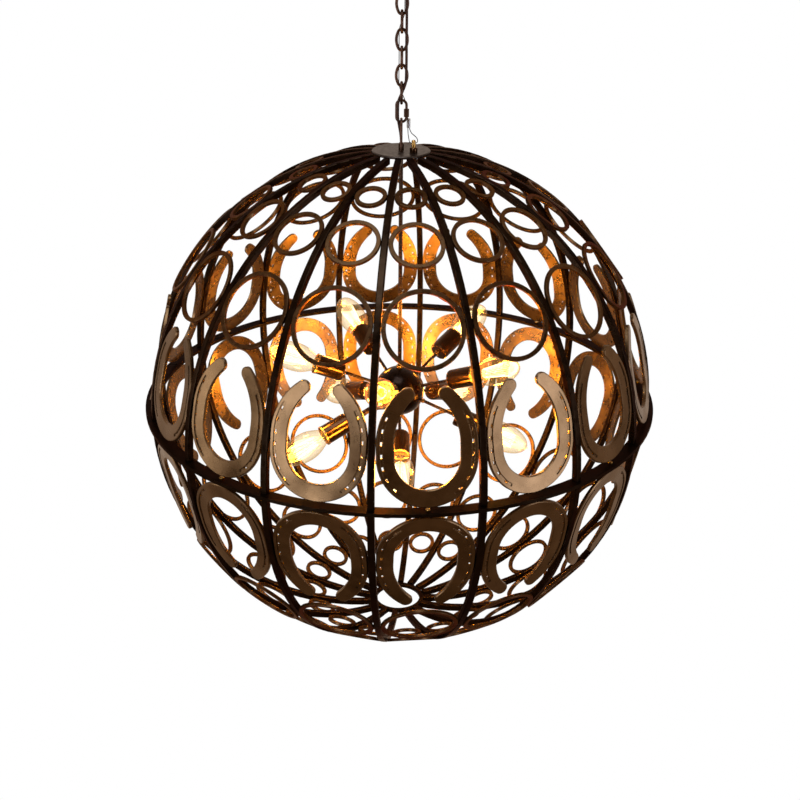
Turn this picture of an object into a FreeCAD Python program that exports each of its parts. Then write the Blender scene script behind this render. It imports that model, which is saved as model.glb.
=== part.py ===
import FreeCAD, Part
import math
import os

import Sketcher

# Orb chandelier: a globe of sixteen bent bars, horseshoes and rings, split at the equator by a
# bolted flange, with ten lamps on arms round a hub ball, hung on a chain from a ceiling canopy.
# Millimetres. Z is up, the origin is the centre of the canopy where it meets the ceiling.

Vector = FreeCAD.Vector
UP = Vector(0, 0, 1)

doc = FreeCAD.newDocument("OrbChandelier")

# ---------------------------------------------------------------- driving sizes

SIZES = {
    # ceiling fitting
    "canopy_diameter": 130.0,
    "canopy_depth": 28.0,
    "canopy_wall": 1.5,
    "crossbar_length": 108.0,
    "crossbar_width": 20.0,
    "crossbar_thickness": 3.0,
    "box_screw_spacing": 88.9,
    "box_screw_hole": 4.6,
    "nipple_diameter": 9.5,
    "nipple_bore": 6.0,
    "lock_nut_flats": 14.0,
    "lock_nut_height": 4.0,
    "canopy_nut_diameter": 26.0,
    "canopy_nut_height": 6.0,
    "ceiling_loop_drop": 65.0,
    "ceiling_loop_wire": 6.0,
    "ceiling_loop_radius": 12.0,
    "ceiling_loop_base_diameter": 15.0,
    "cord_gland_x": 18.0,
    "cord_gland_y": -10.0,
    "cable_gland_x": 15.0,
    "cable_gland_y": 11.0,
    "gland_sleeve": 1.5,
    "gland_lip": 1.5,
    "gland_lip_height": 2.0,
    "gland_bore_clearance": 0.2,
    "nipple_end": 42.0,
    "nipple_clearance": 0.1,
    "ceiling_loop_base_height": 11.0,
    # chain and quick link
    "seat_play": 0.3,
    "link_count": 7,
    "link_wire": 5.5,
    "link_half_length": 19.2,
    "link_half_width": 10.25,
    "link_end_radius": 7.2,
    "quick_wire": 5.0,
    "quick_half_length": 20.5,
    "quick_half_width": 9.5,
    "quick_gap_low": 9.0,
    "quick_gap_width": 4.7,
    "sleeve_flats": 8.6,
    "sleeve_bottom": 11.0,
    "sleeve_length": 15.0,
    "sleeve_clearance": 0.1,
    # hanging loop on the top disc
    "loop_wire": 5.0,
    "loop_half_width": 14.0,
    "loop_rise": 58.8,
    "loop_tail": 6.0,
    "loop_nut_flats": 8.0,
    "loop_nut_height": 4.0,
    # supply cord and safety cable
    "cord_diameter": 5.0,
    "cable_diameter": 1.6,
    "ferrule_diameter": 7.0,
    "ferrule_length": 17.0,
    "ferrule_x": 13.6,
    "ferrule_y": 7.2,
    "ferrule_rise": 41.0,
    "ferrule_bore_offset": 1.2,
    "ferrule_bore": 1.8,
    "anchor_x": 23.5,
    "anchor_y": -22.0,
    "anchor_diameter": 15.0,
    "anchor_height": 10.5,
    "anchor_eye_diameter": 8.0,
    "anchor_eye_height": 13.5,
    "anchor_eye_hole": 4.8,
    "anchor_hole_rise": 18.0,
    "pilot_hole_x": -4.0,
    "pilot_hole_y": -33.0,
    "pilot_hole_diameter": 4.0,
    # globe
    "globe_radius": 508.0,
    "panel_count": 16,
    "panel_heading": 5.75,
    "rib_width": 12.7,
    "rib_rounding": 2.0,
    "weld_gap": 0.1,
    "disc_radius": 56.0,
    "disc_thickness": 5.0,
    "disc_bevel": 1.5,
    "bottom_ring_bar": 9.0,
    "bottom_ring_height": 8.0,
    "bottom_ring_inset": 8.0,
    "bottom_ring_rounding": 1.0,
    # equator flange
    "flange_width": 25.4,
    "flange_thickness": 3.2,
    "flange_overhang": 8.5,
    "bolt_count": 8,
    "bolt_diameter": 5.0,
    "bolt_head_diameter": 8.5,
    "bolt_head_height": 3.6,
    "bolt_head_bevel": 1.0,
    "bolt_tail": 1.0,
    "bolt_nut_flats": 8.0,
    "bolt_nut_height": 4.0,
    "hole_clearance": 0.2,
    # horseshoes
    "shoe_latitude": 12.8,
    "shoe_inset": 14.0,
    "shoe_thickness": 6.5,
    "shoe_web": 31.0,
    "shoe_toe_drop": 14.0,
    "shoe_shoulder": 10.0,
    "shoe_branch_radius": 121.0,
    "shoe_branch_step": 11.0,
    "shoe_heel_radius": 12.0,
    "shoe_bevel": 1.4,
    "crease_inset": 9.0,
    "crease_width": 5.0,
    "crease_depth": 1.8,
    "crease_toe_angle": 54.0,
    "crease_heel_angle": 31.0,
    "nail_hole_count": 7,
    "nail_hole_pitch": 22.1,
    "nail_hole_reach": 61.2,
    "nail_hole_length": 7.0,
    "nail_hole_width": 3.3,
    # ring rows
    "ring_bar": 8.0,
    "ring_depth": 6.35,
    "ring_rounding": 0.8,
    "large_ring_latitude": 36.4,
    "medium_ring_latitude": 54.9,
    "small_ring_latitude": 68.2,
    # stem and hub
    "stem_diameter": 8.0,
    "stem_bore": 6.0,
    "stem_collar_diameter": 10.6,
    "stem_collar_height": 12.0,
    "stem_lip": 2.0,
    "stem_nut_flats": 13.0,
    "stem_nut_height": 5.0,
    "stem_clearance": 0.1,
    "stem_foot": 9.0,
    "hub_rise": 5.0,
    "hub_radius": 51.0,
    "hub_wall": 2.5,
    # lamp arms, measured outward from the hub centre
    "arm_diameter": 6.35,
    "arm_bore": 4.0,
    "arm_inner_end": 42.0,
    "arm_nut_flats": 10.0,
    "arm_nut_height": 3.0,
    "arm_collar_diameter": 9.6,
    "arm_collar_height": 5.0,
    "cover_back": 127.0,
    "cover_length": 58.0,
    "cover_diameter": 40.0,
    "cover_wall": 1.2,
    "cover_rounding": 5.0,
    "rim_overlap": 1.2,
    "rim_lip": 2.0,
    "rim_proud": 0.8,
    "socket_gap": 0.8,
    "socket_chamfer": 4.0,
    "socket_floor": 8.0,
    "socket_length": 51.0,
    "socket_tube_depth": 4.0,
    "cap_diameter": 26.0,
    "cap_length": 27.0,
    "cap_wall": 0.6,
    "cap_rise": 19.0,
    "cap_clearance": 0.2,
    "bulb_rise": 44.0,
    "bulb_length": 116.0,
    "bulb_diameter": 58.0,
    "bulb_neck_diameter": 24.4,
    "bulb_wall": 0.9,
    "bulb_belly": 62.0,
    "bulb_tip_radius": 3.2,
    "mount_radius": 6.0,
    "mount_height": 30.0,
    "mount_rod_radius": 1.1,
    "mount_rod_height": 92.0,
    "mount_disc_height": 2.0,
    "filament_wire": 0.8,
    "filament_legs": 22,
    "filament_low": 36.0,
    "filament_high": 86.0,
    "filament_low_radius": 9.0,
    "filament_high_radius": 14.0,
    "upper_arm_latitude": 22.5,
    "lower_arm_latitude": -20.5,
}

# headings of the lamp arms, in degrees from the front of the globe
UPPER_ARM_HEADINGS = (-151.0, -80.0, -10.0, 61.0, 137.0)
LOWER_ARM_HEADINGS = (-143.0, -61.0, 0.5, 77.0, 144.5)

# places that follow from the sizes
PLACES = {
    "dome_radius": "((Sizes.canopy_diameter / 2)^2 + Sizes.canopy_depth^2) / (2 * Sizes.canopy_depth)",
    "canopy_nut_z": "-Sizes.canopy_depth - Sizes.canopy_nut_height",
    "link_pitch": "2 * Sizes.link_half_length - Sizes.link_wire - Sizes.seat_play",
    "first_link_z": "-Sizes.ceiling_loop_drop + Sizes.ceiling_loop_wire / 2 + Sizes.link_wire / 2"
                    " + Sizes.seat_play - Sizes.link_half_length",
    "last_link_z": "first_link_z - (Sizes.link_count - 1) * link_pitch",
    "quick_link_z": "last_link_z - Sizes.link_half_length + Sizes.link_wire / 2 + Sizes.quick_wire / 2"
                    " + Sizes.seat_play - Sizes.quick_half_length",
    "loop_top_z": "quick_link_z - Sizes.quick_half_length + Sizes.quick_wire / 2 + Sizes.loop_wire / 2"
                  " + Sizes.seat_play",
    "disc_top_z": "loop_top_z - Sizes.loop_rise",
    "disc_bottom_z": "disc_top_z - Sizes.disc_thickness",
    "globe_z": "disc_top_z - Sizes.globe_radius",
    "hub_z": "globe_z + Sizes.hub_rise",
    "hub_top_z": "hub_z + Sizes.hub_radius",
    "rib_inner_radius": "Sizes.globe_radius - Sizes.rib_width",
    "rib_mid_radius": "Sizes.globe_radius - Sizes.rib_width / 2",
    "flange_outer_radius": "Sizes.globe_radius + Sizes.flange_overhang",
    "flange_inner_radius": "flange_outer_radius - Sizes.flange_width",
    "bolt_circle_radius": "flange_outer_radius - Sizes.flange_width / 2",
    "half_panel": "180 / Sizes.panel_count",
    "rib_heading": "Sizes.panel_heading - half_panel",
    "shoe_distance": "Sizes.globe_radius - Sizes.shoe_inset",
    "bottom_ring_level": "Sizes.globe_radius - Sizes.bottom_ring_inset",
    "shoe_axis_radius": "shoe_distance * cos(Sizes.shoe_latitude * 1deg)"
                        " - Sizes.shoe_shoulder * sin(Sizes.shoe_latitude * 1deg)"
                        " - Sizes.shoe_thickness / 2 * cos(Sizes.shoe_latitude * 1deg)",
    "shoe_half_width": "(shoe_axis_radius * sin(half_panel * 1deg) - Sizes.rib_width / 2"
                       " - Sizes.weld_gap) / cos(half_panel * 1deg)",
    "crease_toe_radius": "shoe_half_width - Sizes.crease_inset",
    "crease_branch_radius": "Sizes.shoe_branch_radius - Sizes.crease_inset",
    "branch_centre": "shoe_half_width - Sizes.shoe_branch_radius",
    "cover_mouth": "Sizes.cover_back + Sizes.cover_length",
    "cover_inner_radius": "Sizes.cover_diameter / 2 - Sizes.cover_wall",
    "socket_back": "Sizes.cover_back + Sizes.cover_wall",
    "socket_radius": "cover_inner_radius - Sizes.socket_gap",
    "cap_back": "Sizes.cover_back + Sizes.cap_rise",
    "bulb_base": "Sizes.cover_back + Sizes.bulb_rise",
    "bulb_neck_inner": "Sizes.bulb_neck_diameter / 2 - Sizes.bulb_wall",
    "anchor_top_z": "disc_top_z + Sizes.anchor_height",
    "ferrule_z": "disc_top_z + Sizes.ferrule_rise",
    "hub_inner_radius": "Sizes.hub_radius - Sizes.hub_wall",
    "arm_hole_radius": "Sizes.arm_diameter / 2 + Sizes.stem_clearance",
    "stem_hole_radius": "Sizes.stem_diameter / 2 + Sizes.stem_clearance",
}
for kind in ("cord", "cable"):
    PLACES[kind + "_gland_radius"] = ("Sizes.%s_diameter / 2 + Sizes.gland_bore_clearance"
                                      " + Sizes.gland_sleeve" % kind)
    reach = "sqrt(Sizes.%s_gland_x^2 + Sizes.%s_gland_y^2)" % (kind, kind)
    PLACES[kind + "_gland_low_z"] = (
        "dome_radius - Sizes.canopy_depth - sqrt(dome_radius^2"
        " - (%s - %s_gland_radius - Sizes.gland_lip)^2)" % (reach, kind))
    PLACES[kind + "_gland_high_z"] = (
        "dome_radius - Sizes.canopy_depth - sqrt((dome_radius - Sizes.canopy_wall)^2"
        " - (%s + %s_gland_radius + Sizes.gland_lip)^2)" % (reach, kind))
RING_ROWS = ("large", "medium", "small")
for row in RING_ROWS:
    lean = "(cos(Sizes.%s_ring_latitude * 1deg) * sin(half_panel * 1deg))" % row
    PLACES[row + "_ring_radius"] = ("((rib_mid_radius - Sizes.ring_depth / 2) * %s - Sizes.rib_width / 2"
                                    " - Sizes.weld_gap) / sqrt(1 - %s^2)" % (lean, lean))


def fill_sheet(name, cells, as_text):
    """A sheet with one named cell per row."""
    sheet = doc.addObject("Spreadsheet::Sheet", name)
    for line, (alias, content) in enumerate(cells.items(), start=1):
        sheet.set("A%d" % line, alias)
        sheet.set("B%d" % line, as_text(content))
        sheet.setAlias("B%d" % line, alias)
    doc.recompute()
    return sheet


sizes = fill_sheet("Sizes", SIZES, str)
places = fill_sheet("Places", PLACES, lambda formula: "=" + formula)


def size(name):
    return float(getattr(sizes, name))


def place(name):
    return float(getattr(places, name))


def value(expression):
    """The number that an expression gives on the two sheets."""
    result = sizes.evalExpression(expression)
    return float(getattr(result, "Value", result))


# ---------------------------------------------------------------- helpers for bodies and sketches

NODES = []


def node(piece, label):
    """Names a finished piece; its label is also the name of its file."""
    piece.Label = label
    NODES.append(piece)
    return piece


def set_down(piece, height="0", heading=None):
    """Puts a piece at a height on the axis, turned about it to a heading from the front."""
    turn = 0.0 if heading is None else value(heading) - 90.0
    piece.Placement = FreeCAD.Placement(Vector(0, 0, value(height)), FreeCAD.Rotation(UP, turn))
    piece.setExpression("Placement.Base.z", height)
    if heading is not None:
        piece.setExpression("Placement.Rotation.Angle", "%s - 90" % heading)


def new_body(label):
    return doc.addObject("PartDesign::Body", "Body_" + label)


def origin_feature(body, role):
    return [item for item in body.Origin.OriginFeatures if item.Role == role][0]


def new_sketch(body, name, role="XZ_Plane"):
    sketch = body.newObject("Sketcher::SketchObject", name)
    sketch.AttachmentSupport = (origin_feature(body, role), [""])
    sketch.MapMode = "FlatFace"
    return sketch


def raise_sketch(sketch, height):
    sketch.AttachmentOffset = FreeCAD.Placement(Vector(0, 0, value(height)), FreeCAD.Rotation())
    sketch.setExpression("AttachmentOffset.Base.z", height)


def tie(sketch, kind, *arguments):
    """Adds one constraint; its last argument may be an expression that drives it."""
    expression = arguments[-1] if isinstance(arguments[-1], str) else None
    if expression is None:
        return sketch.addConstraint(Sketcher.Constraint(kind, *arguments))
    number = sketch.addConstraint(Sketcher.Constraint(kind, *arguments[:-1], value(expression)))
    sketch.setExpression("Constraints[%d]" % number, expression)
    return number


def add_circle(sketch, radius, across="0", along="0"):
    centre = Vector(value(across), value(along), 0)
    circle = sketch.addGeometry(Part.Circle(centre, UP, value(radius)), False)
    pin_point(sketch, circle, 3, across, along)
    tie(sketch, "Radius", circle, radius)
    return circle


def pin_point(sketch, geometry, point, across, along):
    """Ties a point of a sketch to its two distances from the origin."""
    for kind, axis, distance in (("DistanceX", -2, across), ("DistanceY", -1, along)):
        if distance == "0":
            tie(sketch, "PointOnObject", geometry, point, axis)
        else:
            tie(sketch, kind, -1, 1, geometry, point, distance)


def add_outline(sketch, corners):
    """A closed outline of straight lines through corners given as pairs of expressions."""
    points = [Vector(value(across), value(along), 0) for across, along in corners]
    lines = [sketch.addGeometry(Part.LineSegment(start, end), False)
             for start, end in zip(points, points[1:] + points[:1])]
    for line, following in zip(lines, lines[1:] + lines[:1]):
        tie(sketch, "Coincident", line, 2, following, 1)
    for line, (across, along) in zip(lines, corners):
        pin_point(sketch, line, 1, across, along)
    return lines


def add_hexagon(sketch, flats, across="0", along="0"):
    """A hexagon whose distance across flats is bound."""
    centre = Vector(value(across), value(along), 0)
    radius = value(flats) / math.sqrt(3)
    corners = [centre + Vector(radius * math.cos(k * math.pi / 3), radius * math.sin(k * math.pi / 3), 0)
               for k in range(6)]
    circle = sketch.addGeometry(Part.Circle(centre, UP, radius), True)
    pin_point(sketch, circle, 3, across, along)
    tie(sketch, "Radius", circle, "(%s) / sqrt(3)" % flats)
    lines = [sketch.addGeometry(Part.LineSegment(start, end), False)
             for start, end in zip(corners, corners[1:] + corners[:1])]
    for line, following in zip(lines, lines[1:] + lines[:1]):
        tie(sketch, "Coincident", line, 2, following, 1)
        tie(sketch, "PointOnObject", line, 1, circle)
    for line in lines[1:]:
        tie(sketch, "Equal", lines[0], line)
    tie(sketch, "Horizontal", lines[1])
    return lines


def revolve(body, sketch):
    turned = body.newObject("PartDesign::Revolution", "Turned")
    turned.Profile = sketch
    turned.ReferenceAxis = (sketch, ["V_Axis"])
    turned.Angle = 360
    doc.recompute()
    return turned


def pad(body, sketch, length, symmetric=False):
    padded = body.newObject("PartDesign::Pad", "Padded")
    padded.Profile = sketch
    padded.Length = value(length)
    padded.setExpression("Length", length)
    if symmetric:
        padded.SideType = "Symmetric"
    doc.recompute()
    return padded


def pocket(body, sketch, depth, reversed_side=False):
    """A cut from a sketch; the volume shows that it really takes material away."""
    before = body.Shape.Volume
    cut = body.newObject("PartDesign::Pocket", "Pocketed")
    cut.Profile = sketch
    cut.Length = value(depth)
    cut.setExpression("Length", depth)
    cut.Reversed = reversed_side
    doc.recompute()
    assert cut.Shape.Volume < before - 1e-3, "a pocket of %s cuts nothing" % body.Label
    return cut


def dress(body, kind, base, edges, amount):
    """A fillet or chamfer on the edges that a test picks."""
    names = ["Edge%d" % number for number, edge in enumerate(base.Shape.Edges, start=1) if edges(edge)]
    dressed = body.newObject("PartDesign::" + kind, kind)
    dressed.Base = (base, names)
    quantity = "Radius" if kind == "Fillet" else "Size"
    setattr(dressed, quantity, value(amount))
    dressed.setExpression(quantity, amount)
    doc.recompute()
    return dressed


def around(body, originals, count, whole=False):
    """Copies about the vertical axis of a body."""
    pattern = body.newObject("PartDesign::PolarPattern", "Copies")
    if whole:
        pattern.TransformMode = "Whole shape"
    else:
        pattern.Originals = originals
    pattern.Axis = (origin_feature(body, "Z_Axis"), [""])
    pattern.Angle = 360
    pattern.Occurrences = int(value(count))
    pattern.setExpression("Occurrences", count)
    body.Tip = pattern
    doc.recompute()
    return pattern


def turned_piece(label, corners, height="0", heading=None):
    """A piece turned about the vertical axis from a closed outline of radii and heights."""
    body = new_body(label)
    sketch = new_sketch(body, "Section")
    add_outline(sketch, corners)
    revolve(body, sketch)
    set_down(body, height, heading)
    return node(body, label)


def tube_section(inner_radius, outer_radius, low, high):
    return [(inner_radius, low), (outer_radius, low), (outer_radius, high), (inner_radius, high)]


def hex_nut(label, flats, bore, height, level):
    """A single hexagonal nut on the vertical axis, standing on a level."""
    body = new_body(label)
    sketch = new_sketch(body, "Flats", "XY_Plane")
    add_hexagon(sketch, flats)
    add_circle(sketch, "(%s) / 2" % bore)
    pad(body, sketch, height)
    set_down(body, level)
    return node(body, label)


def mirrored_copy(source, label):
    """The lower hemisphere's copy of a piece of the upper one."""
    copy = doc.addObject("Part::Mirroring", "Lower_" + label)
    copy.Source = source
    copy.Normal = UP
    copy.Base = Vector(0, 0, place("globe_z"))
    copy.setExpression("Base.z", "Places.globe_z")
    return node(copy, label)


def shaped(label, shape):
    """A piece whose form is swept or gathered from the sizes in code."""
    piece = doc.addObject("Part::Feature", "Piece_" + label)
    piece.Shape = shape
    return node(piece, label)


# ---------------------------------------------------------------- bent wires, cords and cables

def round_wire(path, diameter, start, direction):
    """A solid round bar swept along a smooth path."""
    section = Part.Wire([Part.Circle(start, direction, diameter / 2).toShape()])
    return path.makePipeShell([section], True, False)


def oval_path(half_length, half_width, end_radius):
    """A chain link's centre-line in the XZ plane: four arcs that meet smoothly."""
    rise = half_length - end_radius
    reach = half_width - end_radius
    side_radius = (reach ** 2 + rise ** 2) / (2 * reach) + end_radius
    join = math.atan2(rise, side_radius - half_width)
    side_centre = half_width - side_radius
    corner_x = side_centre + side_radius * math.cos(join)
    corner_z = side_radius * math.sin(join)

    def point(x, z):
        return Vector(x, 0, z)

    arcs = (
        Part.Arc(point(half_width, 0), point(side_centre + side_radius * math.cos(join / 2),
                                             side_radius * math.sin(join / 2)), point(corner_x, corner_z)),
        Part.Arc(point(corner_x, corner_z), point(0, half_length), point(-corner_x, corner_z)),
        Part.Arc(point(-corner_x, corner_z), point(-half_width, 0), point(-corner_x, -corner_z)),
        Part.Arc(point(-corner_x, -corner_z), point(0, -half_length), point(corner_x, -corner_z)),
        Part.Arc(point(corner_x, -corner_z), point(side_centre + side_radius * math.cos(join / 2),
                                                   -side_radius * math.sin(join / 2)), point(half_width, 0)),
    )
    return Part.Wire([arc.toShape() for arc in arcs])


def rounded_route(points):
    """Straight runs joined by tangent arcs; returns the wire, its length and the arc radii."""
    radii = []
    edges = []
    here = points[0]
    for before, corner, after in zip(points, points[1:], points[2:]):
        back = before - corner
        forth = after - corner
        half_turn = (math.pi - back.getAngle(forth)) / 2
        cut = 0.45 * min(back.Length, forth.Length)
        radii.append(cut / math.tan(half_turn))
        start = corner + back.normalize() * cut
        end = corner + forth.normalize() * cut
        bisector = (back + forth).normalize()
        middle = corner + bisector * (radii[-1] / math.cos(half_turn) - radii[-1])
        edges.append(Part.LineSegment(here, start).toShape())
        edges.append(Part.Arc(start, middle, end).toShape())
        here = end
    edges.append(Part.LineSegment(here, points[-1]).toShape())
    wire = Part.Wire(edges)
    return wire, wire.Length, radii


def limp_tube(label, points, diameter):
    """A cord or cable along its route; prints the tightest bend and checks the volume."""
    wire, length, radii = rounded_route(points)
    tube = round_wire(wire, diameter, points[0], points[1] - points[0])
    expected = math.pi * diameter ** 2 / 4 * length
    print("%s: length %.0f, arc radii %s" % (label, length, " ".join("%.0f" % r for r in radii)))
    assert abs(tube.Volume / expected - 1) < 0.01, "the tube of %s is not whole" % label
    return tube


# ---------------------------------------------------------------- ceiling fitting

def ceiling_canopy():
    """A shallow domed cover, open at the top, with holes for the nipple, the cord and the cable."""
    body = new_body("ceiling_canopy")
    sketch = new_sketch(body, "DomeSection")
    hole = value("Sizes.nipple_diameter / 2 + Sizes.hole_clearance")
    arcs = []
    for radius in (place("dome_radius"), place("dome_radius") - size("canopy_wall")):
        centre = Vector(0, place("dome_radius") - size("canopy_depth"), 0)
        reach = math.sqrt(radius ** 2 - centre.y ** 2)
        first = math.atan2(-math.sqrt(radius ** 2 - hole ** 2), hole)
        last = math.atan2(-centre.y, reach)
        arcs.append(sketch.addGeometry(Part.ArcOfCircle(Part.Circle(centre, UP, radius), first, last), False))
    outer, inner = arcs
    points = [sketch.getPoint(arc, end) for arc in arcs for end in (1, 2)]
    bore = sketch.addGeometry(Part.LineSegment(points[0], points[2]), False)
    edge = sketch.addGeometry(Part.LineSegment(points[1], points[3]), False)
    for line, end in ((bore, 1), (edge, 2)):
        tie(sketch, "Coincident", line, 1, outer, end)
        tie(sketch, "Coincident", line, 2, inner, end)
    tie(sketch, "PointOnObject", outer, 3, -2)
    tie(sketch, "Coincident", inner, 3, outer, 3)
    tie(sketch, "DistanceY", -1, 1, outer, 3, "Places.dome_radius - Sizes.canopy_depth")
    tie(sketch, "Radius", outer, "Places.dome_radius")
    tie(sketch, "Radius", inner, "Places.dome_radius - Sizes.canopy_wall")
    tie(sketch, "Vertical", bore)
    tie(sketch, "Horizontal", edge)
    tie(sketch, "PointOnObject", edge, 1, -1)
    tie(sketch, "DistanceX", -1, 1, bore, 1, "Sizes.nipple_diameter / 2 + Sizes.hole_clearance")
    revolve(body, sketch)
    for kind in ("cord", "cable"):
        holes = new_sketch(body, "%sHole" % kind.title(), "XY_Plane")
        add_circle(holes, "Places.%s_gland_radius + Sizes.hole_clearance" % kind,
                   "Sizes.%s_gland_x" % kind, "Sizes.%s_gland_y" % kind)
        pocket(body, holes, "Sizes.canopy_depth")
    return node(body, "ceiling_canopy")


def gland(kind):
    """A rubber bush that snaps into the canopy round the cord or the cable."""
    bore = "Sizes.%s_diameter / 2 + Sizes.gland_bore_clearance" % kind
    sleeve = "Places.%s_gland_radius" % kind
    lip = sleeve + " + Sizes.gland_lip"
    low = "Places.%s_gland_low_z" % kind
    high = "Places.%s_gland_high_z" % kind
    body = new_body(kind + "_gland")
    sketch = new_sketch(body, "Section")
    add_outline(sketch, [
        (bore, low + " - Sizes.gland_lip_height"), (lip, low + " - Sizes.gland_lip_height"),
        (lip, low), (sleeve, low), (sleeve, high), (lip, high),
        (sleeve, high + " + Sizes.gland_lip_height"), (bore, high + " + Sizes.gland_lip_height")])
    revolve(body, sketch)
    body.Placement.Base = Vector(size(kind + "_gland_x"), size(kind + "_gland_y"), 0)
    body.setExpression("Placement.Base.x", "Sizes.%s_gland_x" % kind)
    body.setExpression("Placement.Base.y", "Sizes.%s_gland_y" % kind)
    return node(body, kind + "_gland")


def mounting_crossbar():
    """The strap that is screwed to the ceiling box and carries the nipple."""
    body = new_body("mounting_crossbar")
    sketch = new_sketch(body, "Plan", "XY_Plane")
    half_length = "(Sizes.crossbar_length / 2)"
    half_width = "(Sizes.crossbar_width / 2)"
    add_outline(sketch, [("-" + half_length, "-" + half_width), (half_length, "-" + half_width),
                         (half_length, half_width), ("-" + half_length, half_width)])
    add_circle(sketch, "Sizes.nipple_diameter / 2 + Sizes.nipple_clearance")
    for side in ("-", ""):
        add_circle(sketch, "Sizes.box_screw_hole / 2", side + "(Sizes.box_screw_spacing / 2)")
    pad(body, sketch, "Sizes.crossbar_thickness")
    set_down(body, "-Sizes.crossbar_thickness")
    return node(body, "mounting_crossbar")


def ceiling_loop():
    """The loop that screws onto the nipple below the canopy and carries the chain."""
    top = "Places.canopy_nut_z"
    base = doc.addObject("Part::Cylinder", "LoopBase")
    base.setExpression("Radius", "Sizes.ceiling_loop_base_diameter / 2 * 1mm")
    base.setExpression("Height", "Sizes.ceiling_loop_base_height * 1mm")
    base.setExpression("Placement.Base.z", top + " - Sizes.ceiling_loop_base_height")
    ring = doc.addObject("Part::Torus", "LoopRing")
    ring.setExpression("Radius1", "Sizes.ceiling_loop_radius * 1mm")
    ring.setExpression("Radius2", "Sizes.ceiling_loop_wire / 2 * 1mm")
    ring.Placement = FreeCAD.Placement(Vector(0, 0, 0), FreeCAD.Rotation(Vector(1, 0, 0), 90))
    ring.setExpression("Placement.Base.z", "Sizes.ceiling_loop_radius - Sizes.ceiling_loop_drop")
    bore = doc.addObject("Part::Cylinder", "LoopBore")
    bore.setExpression("Radius", "(Sizes.nipple_diameter / 2 + Sizes.nipple_clearance) * 1mm")
    bore.setExpression("Height", "(Sizes.nipple_end + %s + Sizes.nipple_clearance) * 1mm" % top)
    bore.setExpression("Placement.Base.z", "-Sizes.nipple_end - Sizes.nipple_clearance")
    fused = doc.addObject("Part::Fuse", "LoopFused")
    fused.Base, fused.Tool = base, ring
    cut = doc.addObject("Part::Cut", "LoopBored")
    cut.Base, cut.Tool = fused, bore
    doc.recompute()
    return node(cut, "ceiling_loop")


ceiling_canopy()
for kind in ("cord", "cable"):
    gland(kind)
mounting_crossbar()
turned_piece("threaded_nipple", tube_section("Sizes.nipple_bore / 2", "Sizes.nipple_diameter / 2",
                                             "-Sizes.nipple_end", "0"))
hex_nut("nipple_lock_nut", "Sizes.lock_nut_flats", "Sizes.nipple_diameter + 2 * Sizes.nipple_clearance",
        "Sizes.lock_nut_height", "-Sizes.crossbar_thickness - Sizes.lock_nut_height")
turned_piece("canopy_ring_nut", tube_section(
    "Sizes.nipple_diameter / 2 + Sizes.nipple_clearance", "Sizes.canopy_nut_diameter / 2",
    "Places.canopy_nut_z", "-Sizes.canopy_depth"))
ceiling_loop()

# ---------------------------------------------------------------- chain, quick link, hanging loop


def hang(piece, height, edge_on=False):
    """Hangs a piece on the axis of the chain, its plane across or along the view."""
    turn = 90.0 if edge_on else 0.0
    piece.Placement = FreeCAD.Placement(Vector(0, 0, value(height)), FreeCAD.Rotation(UP, turn))
    piece.setExpression("Placement.Base.z", height)
    return piece


def chain_link(number):
    path = oval_path(size("link_half_length"), size("link_half_width"), size("link_end_radius"))
    link = round_wire(path, size("link_wire"), Vector(size("link_half_width"), 0, 0), UP)
    piece = shaped("chain_link_%d" % number, link)
    return hang(piece, "Places.last_link_z + %d * Places.link_pitch" % (number - 1), number % 2 == 1)


def quick_link_body():
    """A stadium of round bar whose right leg is left open for the sleeve to close."""
    half_width = size("quick_half_width")
    straight = size("quick_half_length") - half_width
    gap_low = -size("quick_gap_low")
    gap_high = gap_low + size("quick_gap_width")

    def point(x, z):
        return Vector(x, 0, z)

    path = Part.Wire([
        Part.LineSegment(point(half_width, gap_high), point(half_width, straight)).toShape(),
        Part.Arc(point(half_width, straight), point(0, straight + half_width),
                 point(-half_width, straight)).toShape(),
        Part.LineSegment(point(-half_width, straight), point(-half_width, -straight)).toShape(),
        Part.Arc(point(-half_width, -straight), point(0, -straight - half_width),
                 point(half_width, -straight)).toShape(),
        Part.LineSegment(point(half_width, -straight), point(half_width, gap_low)).toShape(),
    ])
    link = round_wire(path, size("quick_wire"), point(half_width, gap_high), UP)
    return hang(shaped("quick_link_body", link), "Places.quick_link_z")


def quick_link_sleeve():
    body = new_body("quick_link_sleeve")
    sketch = new_sketch(body, "Flats", "XY_Plane")
    add_hexagon(sketch, "Sizes.sleeve_flats", "Sizes.quick_half_width")
    add_circle(sketch, "Sizes.quick_wire / 2 + Sizes.sleeve_clearance", "Sizes.quick_half_width")
    pad(body, sketch, "Sizes.sleeve_length")
    set_down(body, "Places.quick_link_z - Sizes.sleeve_bottom")
    return node(body, "quick_link_sleeve")


def hanging_loop():
    """A long U of round bar standing on the top disc, its legs through the disc."""
    half_width = size("loop_half_width")
    shoulder = size("loop_rise") - half_width
    foot = -size("disc_thickness") - size("loop_nut_height") - size("loop_tail")

    def point(y, z):
        return Vector(0, y, z)

    path = Part.Wire([
        Part.LineSegment(point(half_width, foot), point(half_width, shoulder)).toShape(),
        Part.Arc(point(half_width, shoulder), point(0, shoulder + half_width),
                 point(-half_width, shoulder)).toShape(),
        Part.LineSegment(point(-half_width, shoulder), point(-half_width, foot)).toShape(),
    ])
    loop = round_wire(path, size("loop_wire"), point(half_width, foot), UP)
    return hang(shaped("hanging_loop", loop), "Places.disc_top_z")


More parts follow.
